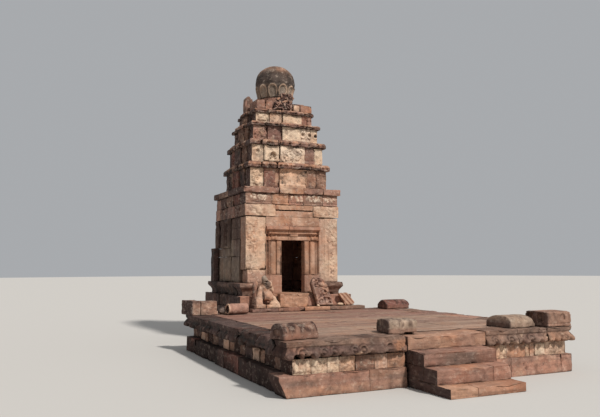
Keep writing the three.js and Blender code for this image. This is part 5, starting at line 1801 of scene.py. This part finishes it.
def build_figure():
    """What is left of a carved seated figure: base, raised knee, round belly and a worn trunk."""
    piece = Piece("seated_figure_carved", "brown_sandstone", ["seated_figure"], "figure")

    def inside(p):
        base = np.minimum(block(p, (-0.32, -0.125, 0), (-0.03, 0.125, 0.085)),
                          block(p, (-0.015, -0.125, 0), (0.315, 0.12, 0.075)))
        knee = rod(p, (-0.185, -0.01, 0.1), (-0.135, -0.01, 0.44), 0.112, 0.042)
        belly = ball(p, (0.045, -0.02, 0.275), (0.125, 0.11, 0.122))
        trunk = ball(p, (0.0, 0.035, 0.42), (0.14, 0.075, 0.19))
        head = ball(p, (0.015, 0.0, 0.575), (0.08, 0.08, 0.165), -0.42)
        rim = ball(p, (0.11, 0.0, 0.54), (0.04, 0.06, 0.11), -0.42)
        arm = ball(p, (0.155, 0.01, 0.42), (0.05, 0.06, 0.1), -0.2)
        leg = rod(p, (0.19, 0.0, 0.24), (0.262, -0.04, 0.078), 0.045, 0.058)
        foot = ball(p, (0.2, -0.05, 0.1), (0.11, 0.07, 0.06))
        back = rod(p, (-0.265, 0.05, 0.08), (-0.235, 0.05, 0.53), 0.045, 0.05)
        crest = ball(p, (-0.225, 0.05, 0.54), (0.06, 0.055, 0.085), 0.5)
        d = melt(melt(knee, trunk, arm, k=0.025), back, crest, k=0.02)
        d = np.minimum(melt(d, leg, foot, base, k=0.02), belly)
        d = np.minimum(d, np.minimum(head, rim))
        for x, z in ((0.085, 0.59), (0.1, 0.49), (0.16, 0.53)):
            d = np.maximum(d, -(ball(p, (x, -0.07, z), (0.018, 0.035, 0.026))))
        for k in range(3):
            d = np.maximum(d, -ring_bar(p, (0.0, -0.055, 0.36 + 0.055 * k), 0.13, 0.007))
        return d + 0.018 * fbm(p, 9.0, 3, 3) + 0.006 * fbm(p, 30.0, 2, 4)

    # Colour patches: middle x, middle z, reach x, reach z, tone and share. The soot ones under the belly,
    # between knee and belly and at the left of the base are painted shadow.
    patches = (
        ((-0.16, 0.25, 0.12, 0.26), "buff", 0.8), ((0.2, 0.12, 0.16, 0.16), "cream", 1.0),
        ((-0.03, 0.65, 0.065, 0.1), "fill", 0.9), ((0.04, 0.53, 0.065, 0.1), "stain", 0.9),
        ((0.16, 0.5, 0.06, 0.12), "cream", 0.8),
        ((0.045, 0.27, 0.13, 0.12), "buff", 0.6), ((-0.26, 0.45, 0.06, 0.2), "base", 0.9),
        ((0.01, 0.15, 0.07, 0.04), "soot", 0.9), ((-0.075, 0.27, 0.025, 0.14), "soot", 0.8),
        ((-0.3, 0.2, 0.05, 0.3), "soot", 0.8),
    )

    def tint(p, colour):
        for (cx, cz, rx, rz), tone, share in patches:
            away = np.hypot((p[:, 0] - cx) / rx, (p[:, 2] - cz) / rz)
            colour = mix(colour, TONES[tone], share * ease(1.25 - away, 0, 0.4))
        return colour

    sculpt(piece, (-0.33, -0.14, 0), (0.33, 0.14, 0.745), 0.0115, inside, "tan", (-0.88, 5.44, KERB_SEAT),
           tint=tint)


STELE = ((-0.245, 0.0), (0.197, 0.0), (0.185, 0.06), (0.11, 0.28), (0.04, 0.49), (-0.05, 0.62),
         (-0.171, 0.69), (-0.305, 0.685), (-0.384, 0.625), (-0.418, 0.53), (-0.33, 0.25))
SLAB = ((-0.115, 0.0), (0.13, 0.0), (0.165, 0.07), (-0.05, 0.314), (-0.295, 0.307))


def build_stele():
    piece = Piece("carved_stele_stone", "tan_sandstone", ["carved_stele"], "figure")

    def relief(x, z):
        """How far the carving stands out of the slab, negative in its hollows."""
        edge = flat_outline(x, z, STELE)
        out = 0.03 * ridge(edge + 0.05, 0.03) * (x < 0.25 - z * 0.8)
        out = np.maximum(out, 0.045 * ridge(np.hypot((x + 0.105) / 0.06, (z - 0.49) / 0.085), 1.0))
        for cx, cz, rx, rz in ((-0.085, 0.34, 0.1, 0.055), (-0.02, 0.17, 0.11, 0.05),
                               (-0.15, 0.13, 0.045, 0.05), (-0.25, 0.53, 0.035, 0.06)):
            t = np.hypot((x - cx) / rx, (z - cz) / rz) + 0.35 * fbm(plane(x, z, cx), 9.0, 2, 21)
            out = np.maximum(out, 0.026 * ridge(t - 1, 0.3) * (0.4 + 0.6 * ease(x - cx + z - cz, -0.1, 0.1)))
            out -= 0.06 * ease(0.8 - t, 0, 0.3) * (z > cz - 0.35 * rz)
        out = np.maximum(out, 0.04 * ridge(np.hypot((x + 0.02) / 0.08, (z - 0.075) / 0.05), 1.0))
        return out + squiggles(x, z, (-0.36, 0.12, 0.05, 0.66), 8.0, 201, 0.02)

    def inside(p):
        x, y, z = p.T
        d = np.maximum(flat_outline(x, z, STELE) + 0.01, y - 0.142)
        front = np.maximum(d, 0.05 - y - relief(x, z))
        return front + 0.007 * fbm(p, 12.0, 3, 8)

    mottled = tinted((0.6, cloud(6.0, 0.0, 0.3, 14), "tan"), (0.5, cloud(5.0, 0.1, 0.4, 15), "pinkish"))

    def tint(p, colour):
        # Painted shade: the hollows of the carving and the slab's sides and back turn soot. Raised carving is
        # paler buff.
        high = relief(p[:, 0], p[:, 2])
        deep = (np.clip(-high * 28, 0, 1) + ease(p[:, 1], 0.08, 0.11)).clip(0, 0.9)
        pale = np.clip(high * 22, 0, 1) * (1 - deep) * 0.5
        return mix(mix(mottled(p, colour), TONES["buff"], pale), TONES["soot"], deep)

    sculpt(piece, (-0.42, -0.01, 0), (0.2, 0.15, 0.69), 0.0095, inside, "dusky", (0.7, 5.43, KERB_SEAT),
           tint=tint)


def build_leaning_slab():
    piece = Piece("leaning_slab_stone", "cream_sandstone", ["leaning_slab"], "figure")

    def slab(p):
        x, y, z = p.T
        d = np.maximum(flat_outline(x, z, SLAB) + 0.008, np.abs(y - 0.07) - 0.045)
        d = d + 0.008 * ridge((((x + z) * 9) % 1) - 0.5, 0.2)
        return d + 0.006 * fbm(p, 12.0, 3, 9)

    def striped(p, colour):
        """Stripes run along the slab's length."""
        t = 2 * math.pi * 9 * (p[:, 0] + p[:, 2] * 0.95)
        colour = mix(colour, TONES["cream"], 0.6 * ease(np.cos(t), 0.0, 0.7))
        return mix(colour, TONES["rose"], 0.6 * ease(np.cos(t + 2.4), 0.2, 0.8))

    sculpt(piece, (-0.3, 0, 0), (0.17, 0.12, 0.32), 0.0105, slab, "tan", (1.3, 5.43, KERB_SEAT), tint=striped)


def build_small_stones():
    piece = Piece("small_stones", "cream_sandstone", [], "figure")
    for at, r, tone in (((1.06, 5.46, 0.885), (0.07, 0.05, 0.04), "white"),
                        ((-1.96, 5.2, 0.835), (0.1, 0.1, 0.075), "grey"),
                        ((-1.9, 5.13, 0.8), (0.05, 0.05, 0.035), "cream"),
                        ((0.42, 5.36, 0.875), (0.035, 0.03, 0.028), "white")):
        sculpt(piece, [-s for s in r], r, 0.009,
               lambda p, r=r: ball(p, (0, 0, 0), r) * 0.9 + 0.012 * fbm(p + r[0], 12.0, 2, 5), tone, at)


def coping_section(y, z, half, height, upright, power):
    """Negative inside the half-round section of a coping stone."""
    v = np.clip(z - upright, 0, None) / (height - upright)
    r = (np.abs(y) / half) ** power + v**power
    return np.maximum((r ** (1 / power) - 1) * min(half, height), -z)


# Place, size, height of the upright part, turn, tone, roundness of the section, and how much of the
# pink foot and of the soot each coping stone has.
COPINGS = (
    (-2.38, 0.42, (0.64, 0.37, 0.24), 0.06, 0.2, "brown", 2.0, "tan_sandstone", 0.7, 1.0),
    (-0.598, 0.463, (0.51, 0.485, 0.225), 0.15, -0.15, "putty", 3.0, "tan_sandstone", 0.7, 0.6),
    (1.67, 0.41, (0.64, 0.545, 0.205), 0.08, 0.1, "putty", 2.3, "tan_sandstone", 0.2, 0.35),
    (2.40, 0.275, (0.56, 0.53, 0.26), 0.19, 0.0, "clay", 5.0, "cream_sandstone", 0.2, 0.35),
    (2.34, 5.13, (0.66, 0.44, 0.22), 0.09, 0.0, "maroon", 1.4, "pink_sandstone", 0.5, 0.9),
)


def coping_breaks(n, p, end, half):
    """The parts that are broken or cut out of the coping stone n, negative inside."""
    x, _, z = p.T
    if n == 1:
        return [block(p, (-1, -0.08, 0.05), (0.035 - end, 0.1, 0.15), 0.03)]
    if n == 2:
        return [block(p, (0.02, -0.3, -0.05), (0.4, -0.12, 0.022), 0.01),
                block(p, (-1, 0.06, 0.1), (0.03 - end, 0.2, 0.3), 0.02)]
    if n == 3:
        return [(x + 0.32) * 0.9 - (z - 0.06) * 0.45, (0.32 - x) * 0.9 - (z - 0.03) * 0.5]
    if n == 4:
        holes = [block(p, (-1, y - 0.075, 0.07), (0.075 - end, y + 0.075, 0.215), 0.03)
                 for y in (-0.09, 0.15)]
        return [*holes, block(p, (0.02, -0.4, 0.11), (0.13, 0.03 - half, 0.2), 0.01)]
    return []


def build_copings():
    for n, (x, y, extent, upright, turn, tone, power, slot, pink, soot) in enumerate(COPINGS, 1):
        length, width, height = extent
        piece = Piece(f"coping_stone_{n}_worn", slot, [f"coping_stone_{n}"], "coping")

        def inside(p):
            px, py, pz = p.T
            end = length / 2 - 0.01
            d = np.maximum(coping_section(py, pz, width / 2 - 0.008, height - 0.008, upright, power),
                           np.abs(px) - end)
            for part in coping_breaks(n, p, end, width / 2):
                d = np.maximum(d, -part)
            if n == 4:
                d = d + 0.01 * ridge(pz - 0.05, 0.008) * (py < 0) + 0.01 * ridge(pz - 0.215, 0.01)
            return d + 0.011 * fbm(p + n * 7.7, 6.0, 3, n) + 0.004 * fbm(p, 30.0, 2, n)

        # Painted shade: the left end, which faces away from the light, is dark and has more grime and shade.
        def shaded_left_end(p):
            return ease(-p[:, 0] - length / 2 + 0.05, 0, 0.03)

        def tint(p, colour):
            stain = ease(fbm(p * np.array((26, 9, 3.0)), 1.0, 3, n + 4), -0.05, 0.25)
            colour = mix(colour, TONES["base"], pink * ease(0.09 - p[:, 2], -0.02, 0.04))
            colour = mix(colour, TONES["soot"], soot * stain * ease(p[:, 2], 0.08, 0.13))
            return mix(colour, TONES["dark"], 0.7 * shaded_left_end(p))

        sculpt(piece, (-length / 2, -width / 2, 0), (length / 2, width / 2, height), 0.0125, inside, tone,
               (x, y, TOP_SEAT), lambda p: 0.2 * shaded_left_end(p) + 0.04, tint, turn)


def build_corner_blocks():
    """Two stones of a frieze that stand at the back of the platform's left side."""
    face = Face(0, 0)
    options = dict(step=(0.018, 0.04, 0.018), rough=0.008, chip=0.03, edge=0.016, plain=("bottom",),
                   top=slab_top)

    def leaves(x, z):
        out = scrolls(x, z, (-2.48, -2.12, 0.8, 1.05), 20, 0.05, 211, 0.014, 0.012)
        return out + worn(x, z, 212, 0.01, 7.0)

    def splay(p):
        p = p.copy()
        left = np.clip((-2.5 - p[:, 0]) / 0.18, 0, 1)
        p[:, 0] -= left * 0.105 * np.clip((p[:, 1] - 5.06) / 0.5, 0, 1)
        return p

    dirty = tinted((0.7, along(2, 0.98, 1.06), "dark"), (0.6, cloud(5.0, 0.0, 0.35, 214), "brown"),
                   (0.5, cloud(8.0, 0.1, 0.4, 215), "buff"))

    # Painted shade: the left face, away from the light, is dark.
    def shaded_left_side(p, colour):
        return mix(dirty(p, colour), TONES["dark"], np.clip((-2.655 - p[:, 0]) / 0.02, 0, 1))

    piece = Piece("corner_block_1_worn", "pink_sandstone", ["corner_block_1"], "figure")
    stone(piece, face, (-2.68, -2.5), (5.06, 5.56), (TOP_SEAT, 1.078), "clay", front=leaves,
          left=side_carving(213), shape=splay, tint=shaded_left_side, **options)
    piece = Piece("corner_block_2_worn", "tan_sandstone", ["corner_block_2"], "figure")
    stone(piece, face, (-2.485, -2.13), (5.08, 5.45), (TOP_SEAT, 1.062), "clay", front=leaves, tint=dirty,
          **options)
    stone(piece, face, (-2.135, -2.105), (5.1, 5.4), (TOP_SEAT, 0.85), "buff", front=plain_wall, **options)


def build_socketed_stone():
    piece = Piece("socketed_stone_worn", "brown_sandstone", ["socketed_stone"], "figure")

    def drum(p):
        x, y, z = p.T
        r = np.hypot(y, z)
        d = np.maximum(r - 0.119 + 0.01 * ridge(x + 0.17, 0.012), np.abs(x) - 0.232)
        d = np.maximum(d, -np.maximum(r - 0.078, x + 0.06))
        return np.maximum(d, -z - 0.112) + 0.008 * fbm(p, 8.0, 3, 6)

    def rim(p, colour):
        # Painted shade: the inside of the socket is dark. The left end is paler cream.
        socket = ((np.hypot(p[:, 1], p[:, 2]) < 0.088) & (p[:, 0] > -0.225))[:, None]
        lit = mix(colour, TONES["cream"], ease(-0.205 - p[:, 0], 0, 0.02))
        return np.where(socket, TONES["dark"], lit)

    sculpt(piece, (-0.24, -0.125, -0.113), (0.24, 0.125, 0.125), 0.009, drum, "pinkish",
           (-1.69, 5.05, TOP_SEAT + 0.113), 0.03, rim, 0.12)


def build_dome_base():
    piece = Piece("dome_base_stones", "pink_sandstone", ["dome_base_slab"], "frieze")
    deep, zr = 0.49, (ROOF_SEAT, 5.97)
    options = dict(step=(0.018, 0.04, 0.02), rough=0.008, chip=0.03, edge=0.016, gap=0.003)
    rosy = tinted((0.5, cloud(4.0, 0.0, 0.4, 511), "base_low"), (0.5, cloud(6.0, 0.1, 0.4, 512), "buff"),
                  (0.5, cloud(7.0, 0.15, 0.4, 513), "wine"))
    for a, b, out, tone in ((-0.72, -0.5, 0.09, "dusky"), (-0.5, -0.31, 0.1, "base"),
                            (-0.31, 0.3, 0.0, "dusky"), (0.3, 0.61, 0.0, "mauve")):
        # Painted shade: the left side of the first stone, away from the light, is mauve.
        stone(piece, Face(0, TOWER_Y - deep), (a, b), (-out, deep), zr, tone, front=side_carving(222, 0.08),
              left=side_carving(221) if a < -0.6 else None, right=plain_wall if b > 0.6 else None,
              grime=0.02, tint=rosy, ends=("mauve" if a < -0.6 else None, None), **options)
    for a, b, tone in ((0.2, 0.61, "mauve"), (-0.25, 0.2, "pink"), (-0.61, -0.25, "brown")):
        stone(piece, Face(0, TOWER_Y + deep, 180), (a, b), (0, deep), zr, tone, grime=0.1,
              front=plain_wall, **WORN_ENDS, **options)


def build_left_fragment():
    piece = Piece("crown_fragment_left_carved", "tan_sandstone", ["crown_fragment_left"], "figure")
    outline = ((-0.13, 0), (0.095, 0), (0.095, 0.15), (0.09, 0.35), (0.065, 0.42), (0.03, 0.41),
               (-0.005, 0.47), (-0.06, 0.475), (-0.11, 0.42), (-0.14, 0.28))

    def ribbed(p):
        x, y, z = p.T
        d = np.maximum(flat_outline(x, z, outline) + 0.008, np.abs(y - 0.12) - 0.112)
        ribs = flutes(x + 0.02 * np.sin(z * 9), 0.062, 0.022) + flutes(y, 0.075, 0.012) * 0.8
        return d - ribs * ease(0.4 - z, 0, 0.15) + 0.008 * fbm(p, 11.0, 3, 3)

    def rust(p, colour):
        groove = 0.7 * ease(np.cos(2 * math.pi * (p[:, 0] + 0.02 * np.sin(p[:, 2] * 9)) / 0.062), 0.3, 0.8)
        return mix(colour, TONES["brown"], np.maximum(ease(fbm(p, 7.0, 2, 31), 0.0, 0.3), groove))

    sculpt(piece, (-0.14, 0, 0), (0.1, 0.24, 0.485), 0.009, ribbed, "pinkish",
           (-0.68, TOWER_Y + 0.03, ROOF_SEAT), 0.06, rust)


def build_carved_fragment():
    """A broken piece covered with leaves, each a short rod that points its own way."""
    piece = Piece("crown_fragment_carved_leaves", "cream_sandstone", ["crown_fragment_carved"], "figure")
    outline = ((-0.3, 0), (0.24, 0), (0.25, 0.1), (0.28, 0.2), (0.3, 0.34), (0.2, 0.46), (0.06, 0.5),
               (-0.06, 0.49), (-0.14, 0.42), (-0.2, 0.33), (-0.24, 0.22), (-0.3, 0.15))
    rng = np.random.default_rng(77)
    tips = [(rng.uniform(-0.28, 0.28), rng.uniform(0.03, 0.48), rng.uniform(0, math.pi * 2),
             rng.uniform(0.06, 0.1)) for _ in range(46)]

    def leafy(p):
        x, y, z = p.T
        slab = flat_outline(x, z, outline)
        out = np.maximum(slab + 0.05, np.abs(y - 0.095) - 0.045)
        for tx, tz, turn, length in tips:
            dx, dz = length * math.cos(turn), length * math.sin(turn)
            leaf = rod(p, (tx - dx * 0.5, 0.055, tz - dz * 0.5), (tx + dx * 0.5, 0.025, tz + dz * 0.5),
                       0.028, 0.011)
            out = np.minimum(out, leaf)
        d = np.maximum(out, slab + 0.004)
        return np.maximum(np.maximum(d, -z), 0.004 - y) + 0.004 * fbm(p, 18.0, 2, 5)

    # Painted shade: the points that lie deeper, behind the leaves, turn soot.
    def leaf_tones_and_shade(p, _):
        lit = mix(TONES["mauve"], TONES["tan"], ease(fbm(p, 7.0, 2, 17), -0.1, 0.3))
        return mix(lit, TONES["soot"], ease(p[:, 1], 0.02, 0.045))

    sculpt(piece, (-0.3, 0, 0), (0.3, 0.15, 0.5), 0.0092, leafy, "cream", (0, TOWER_Y - 0.645, ROOF_SEAT),
           tint=leaf_tones_and_shade)


def build_right_slab():
    piece = Piece("crown_slab_right_worn", "pink_sandstone", ["crown_slab_right"], "figure")
    zr = (ROOF_SEAT, ROOF_SEAT + 0.19)
    stone(piece, Face(0, TOWER_Y - 0.64), (0.44, 0.76), (0, 0.14), zr, "orange",
          step=0.016, rough=0.008, chip=0.03, edge=0.012, plain=(), front=plain_wall, **WORN_ENDS,
          tint=tinted((0.6, cloud(5.0, 0.0, 0.4, 515), "pinkish"), (0.5, cloud(7.0, 0.1, 0.4, 516), "mauve")))
    stone(piece, Face(0, TOWER_Y - 0.63), (0.26, 0.436), (0, 0.12), zr, "cream",
          step=0.016, rough=0.02, chip=0.08, edge=0.04, plain=(), front=plain_wall,
          tint=tinted((0.6, cloud(7.0, 0.0, 0.4, 514), "tan")))


# Floor, camera, light


def build_stage():
    bpy.ops.mesh.primitive_circle_add(vertices=96, radius=90, fill_type="NGON")
    floor = bpy.context.object
    floor.name = "studio_floor"
    material = bpy.data.materials.new("studio_floor")
    material.use_nodes = True
    shader = material.node_tree.nodes["Principled BSDF"]
    shader.inputs["Base Color"].default_value = (0.56, 0.54, 0.51, 1)
    shader.inputs["Roughness"].default_value = 0.95
    shader.inputs["Specular IOR Level"].default_value = 0.1
    floor.data.materials.append(material)
    floor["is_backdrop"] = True

    world = bpy.data.worlds.new("studio")
    bpy.context.scene.world = world
    world.use_nodes = True
    background = world.node_tree.nodes["Background"]
    background.inputs["Color"].default_value = (0.93, 0.96, 1.0, 1)
    background.inputs["Strength"].default_value = 0.42

    key = bpy.data.lights.new("key", "SUN")
    key.energy = 3.3
    key.angle = math.radians(5)
    key.color = (1.0, 0.965, 0.92)
    turn, rise = math.radians(20), math.radians(47)
    towards = Vector((math.sin(turn) * math.cos(rise), -math.cos(turn) * math.cos(rise), math.sin(rise)))
    lamp = bpy.data.objects.new("key", key)
    lamp.rotation_euler = towards.to_track_quat("Z", "Y").to_euler()
    bpy.context.scene.collection.objects.link(lamp)


def build_camera():
    yaw, pitch, roll = (math.radians(a) for a in (24.394, 5.023, -0.18))
    ahead = Vector((math.sin(yaw) * math.cos(pitch), math.cos(yaw) * math.cos(pitch), math.sin(pitch)))
    level = Vector((math.cos(yaw), -math.sin(yaw), 0))
    up = level.cross(ahead)
    right = level * math.cos(roll) + up * math.sin(roll)
    upward = -level * math.sin(roll) + up * math.cos(roll)
    data = bpy.data.cameras.new("camera")
    data.sensor_width = 36
    data.sensor_fit = "HORIZONTAL"
    data.lens = 37.914
    data.clip_end = 400
    camera = bpy.data.objects.new("camera", data)
    turn = Matrix((right, upward, -ahead)).transposed().to_4x4()
    eye = (-6.118, -11.885, 1.848)
    camera.matrix_world = Matrix.Translation(eye) @ turn
    bpy.context.scene.collection.objects.link(camera)
    bpy.context.scene.camera = camera


for build in (
    build_base_course, build_frieze, build_eaves, build_paving, build_steps,
    build_tower_base, build_walls, build_door, build_upper_courses, build_tiers, build_dome,
    build_figure, build_stele, build_leaning_slab, build_small_stones, build_copings,
    build_corner_blocks, build_socketed_stone, build_dome_base, build_left_fragment,
    build_carved_fragment, build_right_slab, build_stage, build_camera,
):
    build()
bpy.context.scene.view_settings.view_transform = "Standard"

for made in pieces:
    made.finish()

# The solids that show as they are carry the same kinds of stone.
for name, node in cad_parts.items():
    mesh = node.data
    mesh.materials.clear()
    mesh.materials.append(LOOKS["core"])
    if "tone" not in mesh.attributes:
        layer = mesh.attributes.new("tone", "FLOAT_COLOR", "POINT")
        layer.data.foreach_set("color", np.tile((*TONES["tan"], 1), len(mesh.vertices)))

size["visual"] = as_lists(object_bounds())
